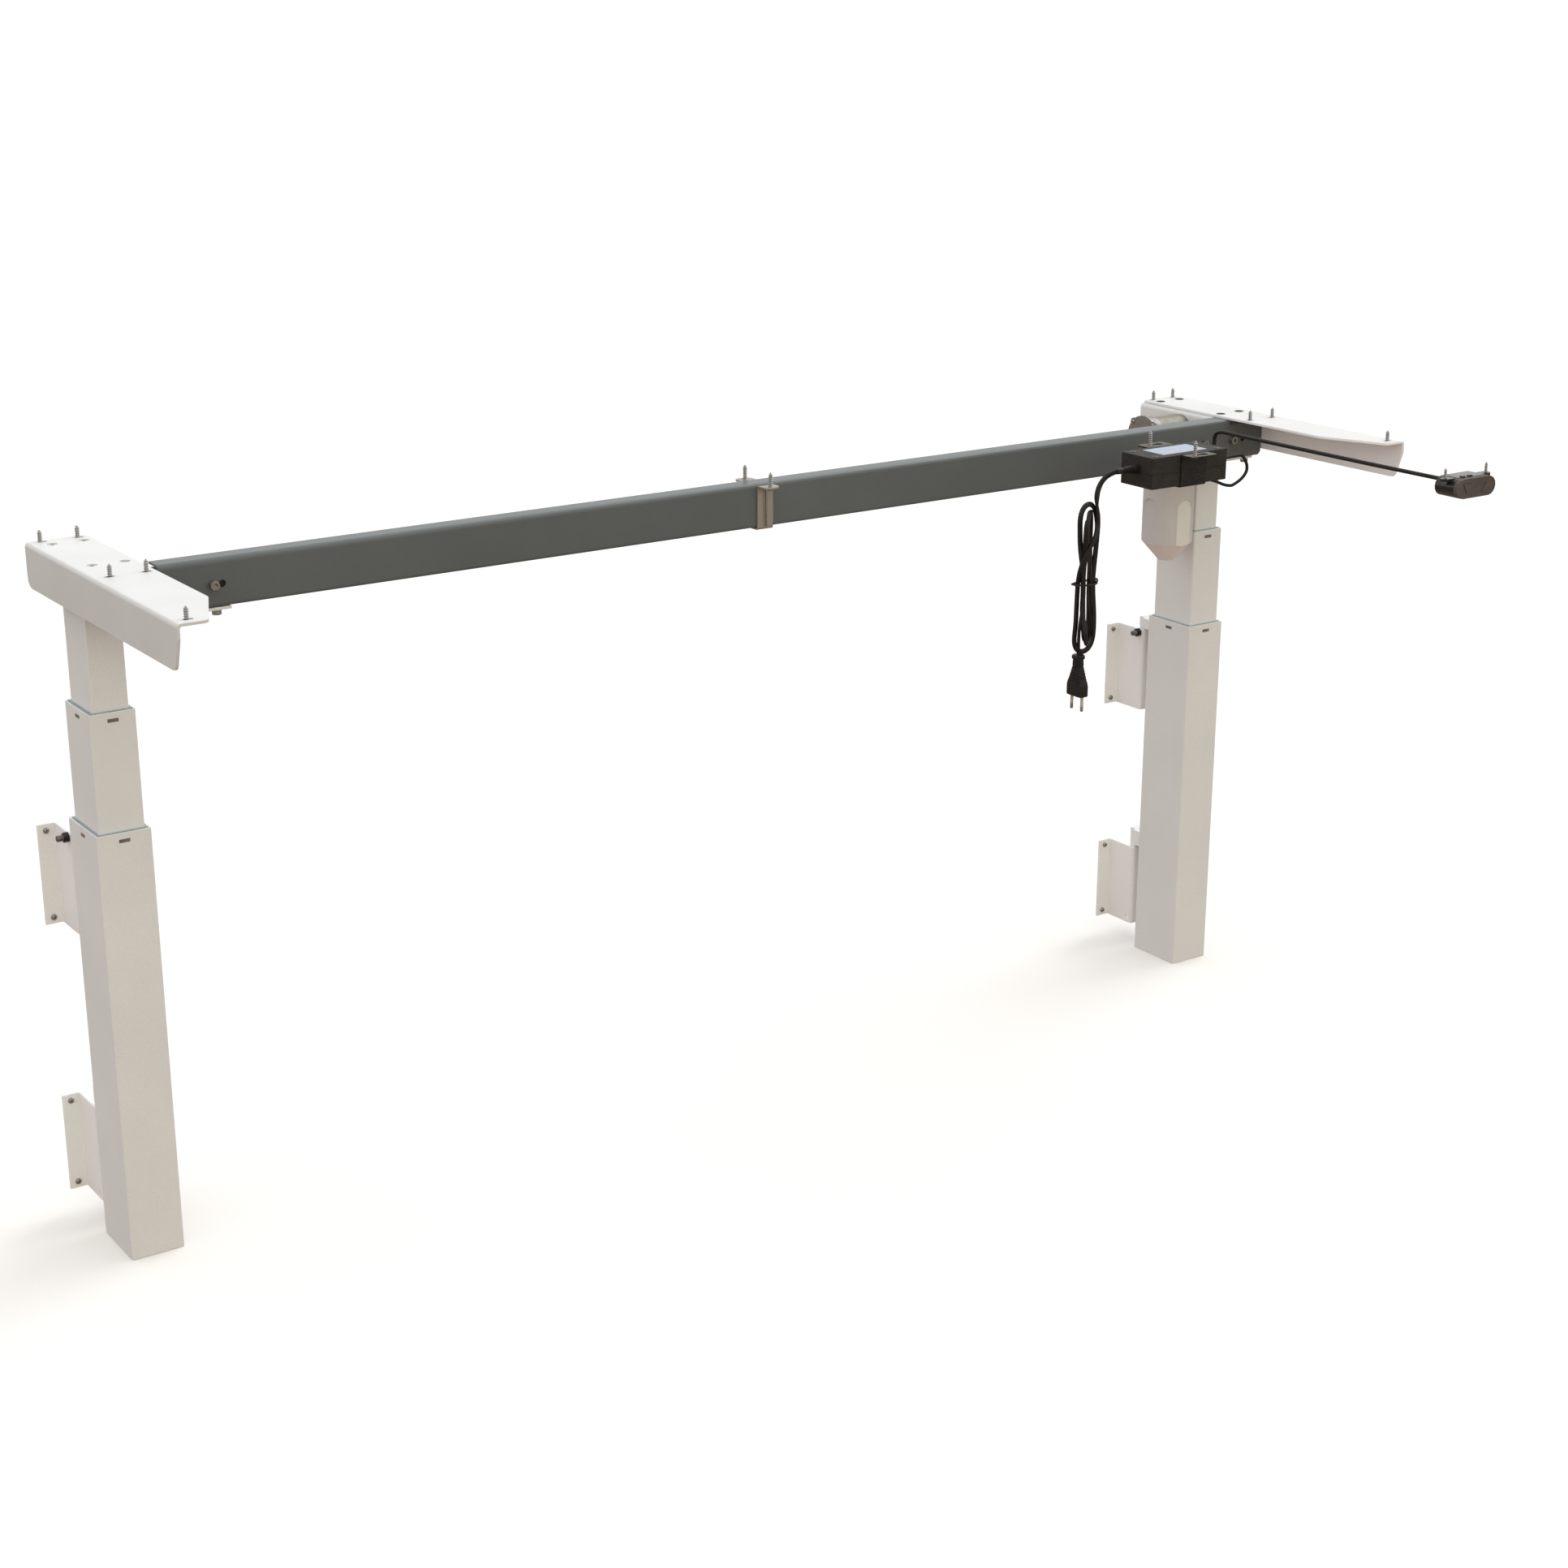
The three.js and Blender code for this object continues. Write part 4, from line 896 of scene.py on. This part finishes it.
def mains_plug():
    """Flat two-pin plug: block, flared and ribbed neck, collar, half-sleeved pins."""
    place = Matrix.Translation(Vector((PLUG_X, CORD_Y, 0)))
    levels = [
        (487.5, superellipse(6.2, 13.2, 6)),
        (488.3, superellipse(7.0, 14.0, 6)),
        (500.0, superellipse(7.0, 14.0, 6)),
        (503.0, superellipse(7.0, 13.8, 5)),
    ]
    for rib in range(6):
        low = 504 + rib * 3.4
        share = rib / 5
        half = 13.4 - 5.0 * share**0.8
        depth = 7.0 - 1.1 * share
        shape = 4.6 - 2.0 * share
        levels.append((low, superellipse(depth, half, shape)))
        levels.append((low + 2.1, superellipse(depth - 0.1, half - 0.4, shape)))
        levels.append((low + 2.3, superellipse(depth - 0.7, half - 0.9, shape)))
        levels.append((low + 3.2, superellipse(depth - 0.75, half - 1.1, shape)))
    levels += [
        (526.0, superellipse(5.7, 7.4, 2.5)),
        (533.6, superellipse(5.5, 7.0, 2.4)),
        (534.2, superellipse(7.2, 8.0, 2.5)),
        (PLUG_TOP - 1.2, superellipse(7.2, 8.0, 2.5)),
        (PLUG_TOP, superellipse(6.2, 7.0, 2.5)),
    ]
    verts, faces = lofted(levels, place)
    plug = make_piece("plug_body", verts, faces, PLUG_PLASTIC, LIFT, "cord_rubber")
    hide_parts("mains_plug")
    extras = [plug]
    for name, side in (("front", -1), ("rear", 1)):
        base = (PLUG_X, CORD_Y + side * 9.3, 488.1)
        sleeve = [(0, 2.0), (9.6, 1.95), (9.9, 1.75)]
        bare = [(9.4, 1.7), (9.9, 1.95), (18.2, 1.95), (19.0, 1.6), (19.5, 0.9)]
        sleeve_mesh = revolve(sleeve, 16, aimed(base, (0, 0, -1)))
        bare_mesh = revolve(bare, 16, aimed(base, (0, 0, -1)))
        extras.append(make_piece(f"pin_sleeve_{name}", *sleeve_mesh, PIN_SLEEVE, LIFT))
        extras.append(make_piece(f"pin_tip_{name}", *bare_mesh, PIN_METAL, LIFT))
    return extras


def cord_tie():
    """The twisted wire tie round the hank, with a small eye on the right and a tail."""
    half_x = 16.6
    half_y = 9.6
    ring = []
    for i in range(25):
        angle = 2 * math.pi * i / 24
        x = HANK_X - 3.2 + half_x * signed_power(math.cos(angle), 0.75)
        y = CORD_Y + 0.6 + half_y * signed_power(math.sin(angle), 0.75)
        sag = 0.7 * math.sin(2 * angle + 0.6)
        ring.append((x, y, TIE_Z + sag))
    eye = []
    for i in range(15):
        angle = math.radians(200 + 320 * i / 14)
        x = HANK_X + 13.8 + 2.1 * math.cos(angle)
        z = TIE_Z + 1.4 + 2.1 * math.sin(angle)
        eye.append((x, CORD_Y - 1, z))
    tail = [
        (HANK_X - 17.6, CORD_Y - 6.4, TIE_Z + 0.4),
        (HANK_X - 20.2, CORD_Y - 6.8, TIE_Z + 0.1),
        (HANK_X - 24.0, CORD_Y - 7.4, TIE_Z + 0.6),
    ]
    wire = circle(1.2, 10)
    paths = [smooth_path(points, 3) for points in (ring, eye, tail)]
    verts, faces = merge(*[tube(path, wire, thin=(0, 0, 1)) for path in paths])
    tie = make_piece("wire_tie", verts, faces, SHEATH, LIFT, "cord_rubber")
    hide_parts("cord_tie")
    return tie


def grommet(name, position, radius):
    """The ribbed sleeve where a round cable leaves the box."""
    rings = [(0, radius + 2.0), (1.4, radius + 2.0), (1.8, radius + 1.5), (7, radius + 0.9)]
    rings += [(7.4, radius + 0.5), (14, radius + 0.35), (15, radius + 0.1)]
    verts, faces = revolve(rings, 20, aimed(position, (1, 0, 0)))
    return make_piece(name, verts, faces, PLUG_PLASTIC, LIFT, "cord_rubber")


def make_cords():
    relief = strain_relief()
    plug = mains_plug()
    tie = cord_tie()
    mains = relaxed(smooth_path(MAINS_LEAD_ROUTE + hank_route(), 4))
    declared_cord(
        "mains_cord",
        mains,
        twin_section(TWIN_WIDTH, TWIN_THICKNESS),
        mains[0],
        MAINS_LENGTH,
        TWIN_DIAMETER,
        ["mains_lead", "mains_hank"],
        [*plug, tie, relief],
        far_end="plug",
        stiffness="medium",
        lay="hanging",
        twist=lead_twist,
    )
    motor = smooth_path(MOTOR_CABLE_ROUTE, 5)
    declared_cord(
        "motor_cord",
        motor,
        circle(MOTOR_DIAMETER / 2),
        motor[0],
        MOTOR_LENGTH,
        MOTOR_DIAMETER,
        ["motor_cable"],
        [grommet("motor_grommet", MOTOR_CABLE_ROUTE[0], MOTOR_DIAMETER / 2)],
        far_end="object",
        stiffness="medium",
        lay="loose",
        thin=(0, 0, 1),
    )
    handset = smooth_path(HANDSET_CABLE_ROUTE, 5)
    declared_cord(
        "handset_cord",
        handset,
        circle(HANDSET_DIAMETER / 2),
        handset[0],
        HANDSET_LENGTH,
        HANDSET_DIAMETER,
        ["handset_cable"],
        [grommet("handset_grommet", HANDSET_CABLE_ROUTE[0], HANDSET_DIAMETER / 2)],
        far_end="object",
        stiffness="stiff",
        lay="loose",
        thin=(0, 0, 1),
    )


# ---- Screws ----


def wood_screw(name, x, y, seat, tip, radius=2.7, head=4.2):
    """A pan-head wood screw, pointing up: its head bears on z = seat from below."""
    pitch = 2.4
    depth = 0.75
    point = 3.2
    length = tip - seat
    steps = int(length / pitch * 8)

    def thread(height):
        taper = min(1.0, (length - height) / point)

        def at(angle):
            turn = (height / pitch - angle / (2 * math.pi)) % 1.0
            crest = min(1.0, max(0.0, 1.25 - abs(turn - 0.5) * 4))
            return max(0.12, (radius - depth) * taper**0.8 + depth * crest * min(1, taper * 1.6))

        return at

    rings = [(-2.6, 1.5), (-2.5, head * 0.62), (-2.0, head * 0.88), (-1.2, head)]
    rings += [(0, head), (0, radius)]
    for step in range(1, steps + 1):
        height = length * step / steps
        rings.append((height, thread(height) if step < steps else 0.1))
    verts, faces = revolve(rings, 18, aimed((x, y, seat)))
    return make_piece(name, verts, faces, SCREW_STEEL, LIFT, "zinc")


def socket_head(name, position, direction, body, finish, radius, height, flats, slot=None):
    """The head of a socket screw with its hexagon recess, standing on position."""
    recess = hexagon_radius(flats)
    rings = [
        (0, radius),
        (height - 0.5, radius),
        (height, radius - 0.5),
        (height, lambda angle: recess(angle) + 0.25),
        (height - 0.25, recess),
        (height - 0.6 * height, recess),
    ]
    verts, faces = revolve(rings, 36, aimed(position, direction))
    return make_piece(name, verts, faces, finish, body, slot)


def pan_head(name, position, direction, body, finish, radius, height, slot=None):
    """A domed head with a hexalobe recess."""

    def lobes(angle):
        return radius * (0.34 + 0.07 * math.cos(6 * angle))

    rings = [
        (0, radius),
        (height * 0.35, radius),
        (height * 0.75, radius * 0.86),
        (height, radius * 0.58),
        (height, lobes),
        (height * 0.35, lobes),
    ]
    verts, faces = revolve(rings, 36, aimed(position, direction))
    return make_piece(name, verts, faces, finish, body, slot)


RAIL_SCREWS = {
    "left": [(-784.4, -38.5), (-744.6, -38.5), (-780.4, -226.5), (-743, -226), (-783.4, -427)],
    "right": [(750.4, -38.5), (785.0, -38.5), (747.2, -226), (786.0, -226.5), (785.6, -427)],
}
SCREW_RISE = 13
HEAD_PLATE_LOW = 770.2
CLAMP_SCREWS = [(9.2, -210.5), (10.7, -155.5)]
STRAP_SCREWS = [(528.3, -357.8), (528.3, -277.6)]
# The heights where the head bears and where the point ends.
CLAMP_SCREW_SPAN = (769.5, 788.5)
STRAP_SCREW_SPAN = (773.2, 793)
HANDSET_SCREW_SPAN = (770.5, 786.5)
HANDSET_EAR = 34.6
HANDSET_SCREW_Y = -622.5
WALL_ROWS = {"upper": 346.5, "lower": 28}
WALL_SCREW_COLUMNS = {"a": -34, "b": 34}
WALL_SCREW_LEVELS = {"low": 7.5, "high": 107}
WALL_SCREW_Y = -3.0
ADAPTER_BOLTS_X = (656.8, 781.2)
ADAPTER_BOLT_Y = -184.5
ADAPTER_BOLT_Z = 718.7
HIDDEN_BOLT_X = -781.2
COVER_SCREWS_X = 668.2
COVER_SCREW_CIRCLE = 27
WHEEL_Z = 744
BOLT_START = -29.7
BOLT_Y = -45.0
BOLT_Z = 456.5


def make_wall_screws(side_name, side):
    """The screws that hold a column's two brackets to the wall."""
    for row, low in WALL_ROWS.items():
        for column, offset in WALL_SCREW_COLUMNS.items():
            for level, rise in WALL_SCREW_LEVELS.items():
                name = f"wall_screw_{side_name}_{row}_{column}_{level}"
                place = (side * COLUMN_X + offset, WALL_SCREW_Y, low + rise)
                pan_head(name, place, (0, -1, 0), WALL, WALL_SCREW_STEEL, 3.4, 2.4)


def make_adapter_bolts(side_name, side):
    """Socket screws from below, beside the head of a column; one place has none."""
    for number, reach in enumerate(ADAPTER_BOLTS_X, 1):
        x = side * reach
        if x == HIDDEN_BOLT_X:
            continue
        name = f"adapter_bolt_{side_name}_{number}"
        place = (x, ADAPTER_BOLT_Y, ADAPTER_BOLT_Z)
        socket_head(name, place, (0, 0, -1), LIFT, ZINC, 5.0, 6.8, 5, "zinc")


def make_screws():
    for side, places in RAIL_SCREWS.items():
        for number, (x, y) in enumerate(places, 1):
            seat = HEAD_PLATE_LOW if y > -100 else RAIL_TOP - RAIL_SHEET
            wood_screw(f"rail_screw_{side}_{number}", x, y, seat, RAIL_TOP + SCREW_RISE)
    for number, (x, y) in enumerate(CLAMP_SCREWS, 1):
        wood_screw(f"clamp_screw_{number}", x, y, *CLAMP_SCREW_SPAN)
    for number, (x, y) in enumerate(STRAP_SCREWS, 1):
        wood_screw(f"strap_screw_{number}", x, y, *STRAP_SCREW_SPAN, radius=2.5, head=3.9)
    for number, side in enumerate((-1, 1), 1):
        x = HANDSET["x"] + side * HANDSET_EAR
        y = HANDSET_SCREW_Y
        wood_screw(f"handset_screw_{number}", x, y, *HANDSET_SCREW_SPAN, radius=2.1, head=3.4)
    for side_name, side in (("left", -1), ("right", 1)):
        make_wall_screws(side_name, side)
        make_adapter_bolts(side_name, side)


# ---- Plugs, inserts and other small parts ----


INSERT = {"half": 5.9, "height": 3.8, "below": 6.6, "sunk": 0.1, "thick": 0.38}
RAIL_PLUGS = [(-777.5, -54.9), (-743.9, -54.9), (-777.5, -169.4)]
RAIL_CAPS = [(748.6, -54.9), (782.2, -54.9), (748.6, -170.5), (782.2, -169.4)]
BEAM_PLUGS = [-653.3, 764.6]
PLUG_Z = 746.3
# The label's left, front, right and rear edges.
LABEL = (498.2, -335, 569.2, -297.5)
LABEL_THICKNESS = 0.25
CLAMP_BEAD_FOOT = (10.2, BEAM_FRONT - 4.6, 723.5)
LID_SCREW_INSET = (11, 9)


def box_slab(low, high):
    """A plain block between two corners, its upper edges drawn in a little."""
    outline = rounded_rectangle(low[0], low[1], high[0], high[1], 0.15, 2)
    return slab(outline, low[2], high[2], 0.1)


def make_clamp_bead():
    """The bright rolled bead down the front of the clamp in the middle."""
    rings = [(0, 0.5), (0.6, 1.0), (44.4, 1.0), (45, 0.5)]
    verts, faces = revolve(rings, 14, aimed(CLAMP_BEAD_FOOT))
    make_piece("clamp_bead", verts, faces, ZINC, LIFT, "zinc")


def make_window_inserts():
    """The ends of the glides' lugs, seen in the four windows of each outer and middle tube."""
    for side_name, side in (("left", -1), ("right", 1)):
        for tube_name, sizes, body in (
            ("outer", OUTER_TUBE, WALL),
            ("middle", MIDDLE_TUBE, MIDDLE_STAGE[side]),
        ):
            high = sizes["high"] - INSERT["below"]
            low = high - INSERT["height"]
            half = INSERT["half"]
            for number, (along_x, way) in enumerate(((1, -1), (1, 1), (0, -1), (0, 1)), 1):
                reach = (sizes["width"] if along_x else sizes["depth"]) / 2 - INSERT["sunk"]
                near, far = sorted((way * reach, way * (reach - INSERT["thick"])))
                x = (near, far) if along_x else (-half, half)
                y = (-half, half) if along_x else (near, far)
                verts, faces = box_slab(
                    (side * COLUMN_X + x[0], COLUMN_Y + y[0], low),
                    (side * COLUMN_X + x[1], COLUMN_Y + y[1], high),
                )
                name = f"window_insert_{side_name}_{tube_name}_{number}"
                make_piece(name, verts, faces, WINDOW_INSERT, body)


def make_plugs():
    """White plugs in the left rail with painted shade in their middle holes, flat caps in the right
    one and black plugs in the beam's web; the caps and black plugs are painted shade for open
    holes.
    """
    seat = RAIL_TOP - RAIL_SHEET + 0.1
    rings = [(0, 4.9), (0.3, 5.2), (2.0, 5.2), (2.3, 4.9)]
    rings += [(2.3, 4.4), (1.9, 4.1), (1.9, 2.6), (1.4, 2.5)]
    dot = [(1.2, 2.3), (2.0, 2.4), (2.1, 2.2), (2.1, 1.2), (1.8, 1.0)]
    for number, (x, y) in enumerate(RAIL_PLUGS, 1):
        verts, faces = revolve(rings, 30, aimed((x, y, seat)))
        make_piece(f"rail_plug_{number}", verts, faces, COVER_PLASTIC, LIFT)
        # Painted shade: a near-black filling in the plug's middle hole.
        verts, faces = revolve(dot, 24, aimed((x, y, seat)))
        make_piece(f"rail_plug_hole_shade_{number}", verts, faces, PLUG_HOLE_SHADE, LIFT)
    cap = [(0, 4.9), (0.2, 5.25), (3.0, 5.25), (3.0, 6.1)]
    cap += [(3.15, 6.1), (3.25, 5.9), (3.25, 4.2), (2.4, 4.0)]
    # Painted shade: dark flat caps over the right rail's open holes.
    for number, (x, y) in enumerate(RAIL_CAPS, 1):
        verts, faces = revolve(cap, 30, aimed((x, y, seat)))
        make_piece(f"rail_hole_shade_cap_{number}", verts, faces, HOLE_SHADE_CAP, LIFT)
    # Painted shade: black plugs fill the holes in the beam's web.
    rings = [(0, 3.5), (0.2, 3.8), (1.5, 3.8), (1.8, 3.5), (1.8, 2.6), (1.1, 2.3)]
    for number, x in enumerate(BEAM_PLUGS, 1):
        verts, faces = revolve(rings, 26, aimed((x, BEAM_FRONT + 2.4, PLUG_Z), (0, -1, 0)))
        make_piece(f"beam_hole_shade_plug_{number}", verts, faces, PLUG_PLASTIC, LIFT)


def make_box_details():
    """The blank label on the lid of the control box and the lid's four screws."""
    verts, faces = slab(
        rounded_rectangle(*LABEL, 1.2), BOX["high"], BOX["high"] + LABEL_THICKNESS, 0.1
    )
    make_piece("blank_label", verts, faces, LABEL_FILM, LIFT)
    inset_x, inset_y = LID_SCREW_INSET
    ends = (BOX["left"] + inset_x, BOX["right"] - inset_x)
    edges = (BOX["front"] + inset_y, BOX["rear"] - inset_y)
    for number, (x, y) in enumerate([(x, y) for x in ends for y in edges], 1):
        place = (x, y, BOX["high"])
        pan_head(f"lid_screw_{number}", place, (0, 0, 1), LIFT, LID_SCREW_STEEL, 3.6, 0.9)


def make_bolt_ends():
    """The bare, threaded ends of the two lock bolts."""
    rings = [(0.0, 3.3)]
    for turn in range(6):
        rings += [(0.5 + turn, 3.55), (1.0 + turn, 3.3)]
    rings += [(7.0, 3.3), (7.4, 2.8)]
    for name, side in (("left", -1), ("right", 1)):
        start = (side * COLUMN_X + BOLT_START, BOLT_Y, BOLT_Z)
        verts, faces = revolve(rings, 20, aimed(start, (-1, 0, 0)))
        make_piece(f"lock_bolt_end_{name}", verts, faces, BOLT_END, WALL)


def make_gear_details():
    """Four screws in a circle on the gear's cover."""
    for number, degrees in enumerate((45, 135, 225, 315), 1):
        angle = math.radians(degrees)
        y = COLUMN_Y + COVER_SCREW_CIRCLE * math.cos(angle)
        z = WHEEL_Z + COVER_SCREW_CIRCLE * math.sin(angle)
        place = (COVER_SCREWS_X, y, z)
        pan_head(f"cover_screw_{number}", place, (-1, 0, 0), LIFT, ZINC, 2.9, 1.8, "zinc")


# ---- Handset details ----


ROOF_HALF = 21
ROOF_Y = (-632.5, -608.5)
ROOF_BLOCK_HALF = 3.1
ROOF_BLOCK_Y = (-632.6, -628.2)
ROOF_BLOCK_OFFSETS = (-14.0, -2.0)


def make_handset_details():
    """The flat roof of the handset, drawn as a painted reflection, and two low blocks at its front.
    """
    middle = HANDSET["x"]
    top = HANDSET["z"] + HANDSET["radius"]
    front, rear = ROOF_Y
    roof = rounded_rectangle(middle - ROOF_HALF, front, middle + ROOF_HALF, rear, 2)
    verts, faces = slab(roof, top - 0.2, top + 0.5, 0.3)
    make_piece("handset_roof_painted_reflection", verts, faces, ROOF_PAINTED_REFLECTION, LIFT)
    front, rear = ROOF_BLOCK_Y
    for number, offset in enumerate(ROOF_BLOCK_OFFSETS, 1):
        x = middle + offset
        block = rounded_rectangle(x - ROOF_BLOCK_HALF, front, x + ROOF_BLOCK_HALF, rear, 0.8)
        verts, faces = slab(block, top + 0.4, top + 2.2, 0.4)
        make_piece(f"roof_block_{number}", verts, faces, HANDSET_PLASTIC, LIFT)


# ---- Floor, light ----

FLOOR_HALF = 120.0
FLOOR_Z = -0.0006
FLOOR_GLOW = (0.35, 0.27, 0.23, 1)
FLOOR_DARK = (0.93, 0.91, 0.893)
FLOOR_LIGHT = (0.935, 0.915, 0.898)
WORLD_STRENGTH = 1.02
KEY_TOWARDS = (-1, -0.15, -1)
KEY_COLOR = (1.0, 1.0, 1.0)
KEY_STRENGTH = 0.75
KEY_SPREAD = 35
FILL_TOWARDS = (0.2, 1, -0.2)
FILL_COLOR = (1.0, 0.85, 0.16)
FILL_STRENGTH = 0.38
FILL_SPREAD = 50


def make_floor():
    """Near-white to the eye; to everything else, a weak warm glow from below."""
    mesh = bpy.data.meshes.new("floor")
    corners = [(-1, -1), (1, -1), (1, 1), (-1, 1)]
    verts = [(x * FLOOR_HALF, y * FLOOR_HALF, FLOOR_Z) for x, y in corners]
    mesh.from_pydata(verts, [], [(0, 1, 2, 3)])
    shader = Shader("floor_paper", specular=0.1)
    clouds = shader.noise(0.7, 2)
    shader.color(shader.ramp(clouds, [(0.3, FLOOR_DARK), (0.7, FLOOR_LIGHT)]))
    shader.roughness(clouds, 0.85, 0.9)
    glow = shader.add("ShaderNodeEmission")
    glow.inputs["Color"].default_value = FLOOR_GLOW
    rays = shader.add("ShaderNodeLightPath")
    mix = shader.add("ShaderNodeMixShader")
    shader.link(rays.outputs["Is Camera Ray"], mix.inputs["Fac"])
    shader.link(glow.outputs[0], mix.inputs[1])
    shader.link(shader.bsdf.outputs[0], mix.inputs[2])
    shader.link(mix.outputs[0], shader.tree.nodes["Material Output"].inputs["Surface"])
    mesh.materials.append(shader.material)
    floor = bpy.data.objects.new("floor", mesh)
    bpy.context.scene.collection.objects.link(floor)


def make_world():
    world = bpy.data.worlds.new("studio")
    bpy.context.scene.world = world
    world.use_nodes = True
    background = world.node_tree.nodes["Background"]
    background.inputs["Color"].default_value = (1, 1, 1, 1)
    background.inputs["Strength"].default_value = WORLD_STRENGTH


def make_sun(name, towards, color, strength, spread_degrees):
    data = bpy.data.lights.new(name, "SUN")
    data.color = color
    data.energy = strength
    data.angle = math.radians(spread_degrees)
    light = bpy.data.objects.new(name, data)
    light.rotation_mode = "QUATERNION"
    light.rotation_quaternion = Vector(towards).to_track_quat("-Z", "Y")
    bpy.context.scene.collection.objects.link(light)


def make_stage():
    make_floor()
    make_world()
    make_sun("key", KEY_TOWARDS, KEY_COLOR, KEY_STRENGTH, KEY_SPREAD)
    make_sun("front_fill", FILL_TOWARDS, FILL_COLOR, FILL_STRENGTH, FILL_SPREAD)
    bpy.context.scene.view_settings.view_transform = "Standard"


# ---- The scene ----

make_camera()
make_cords()
finish_cad_nodes()
make_screws()
make_clamp_bead()
make_window_inserts()
make_plugs()
make_box_details()
make_bolt_ends()
make_gear_details()
make_handset_details()
make_stage()
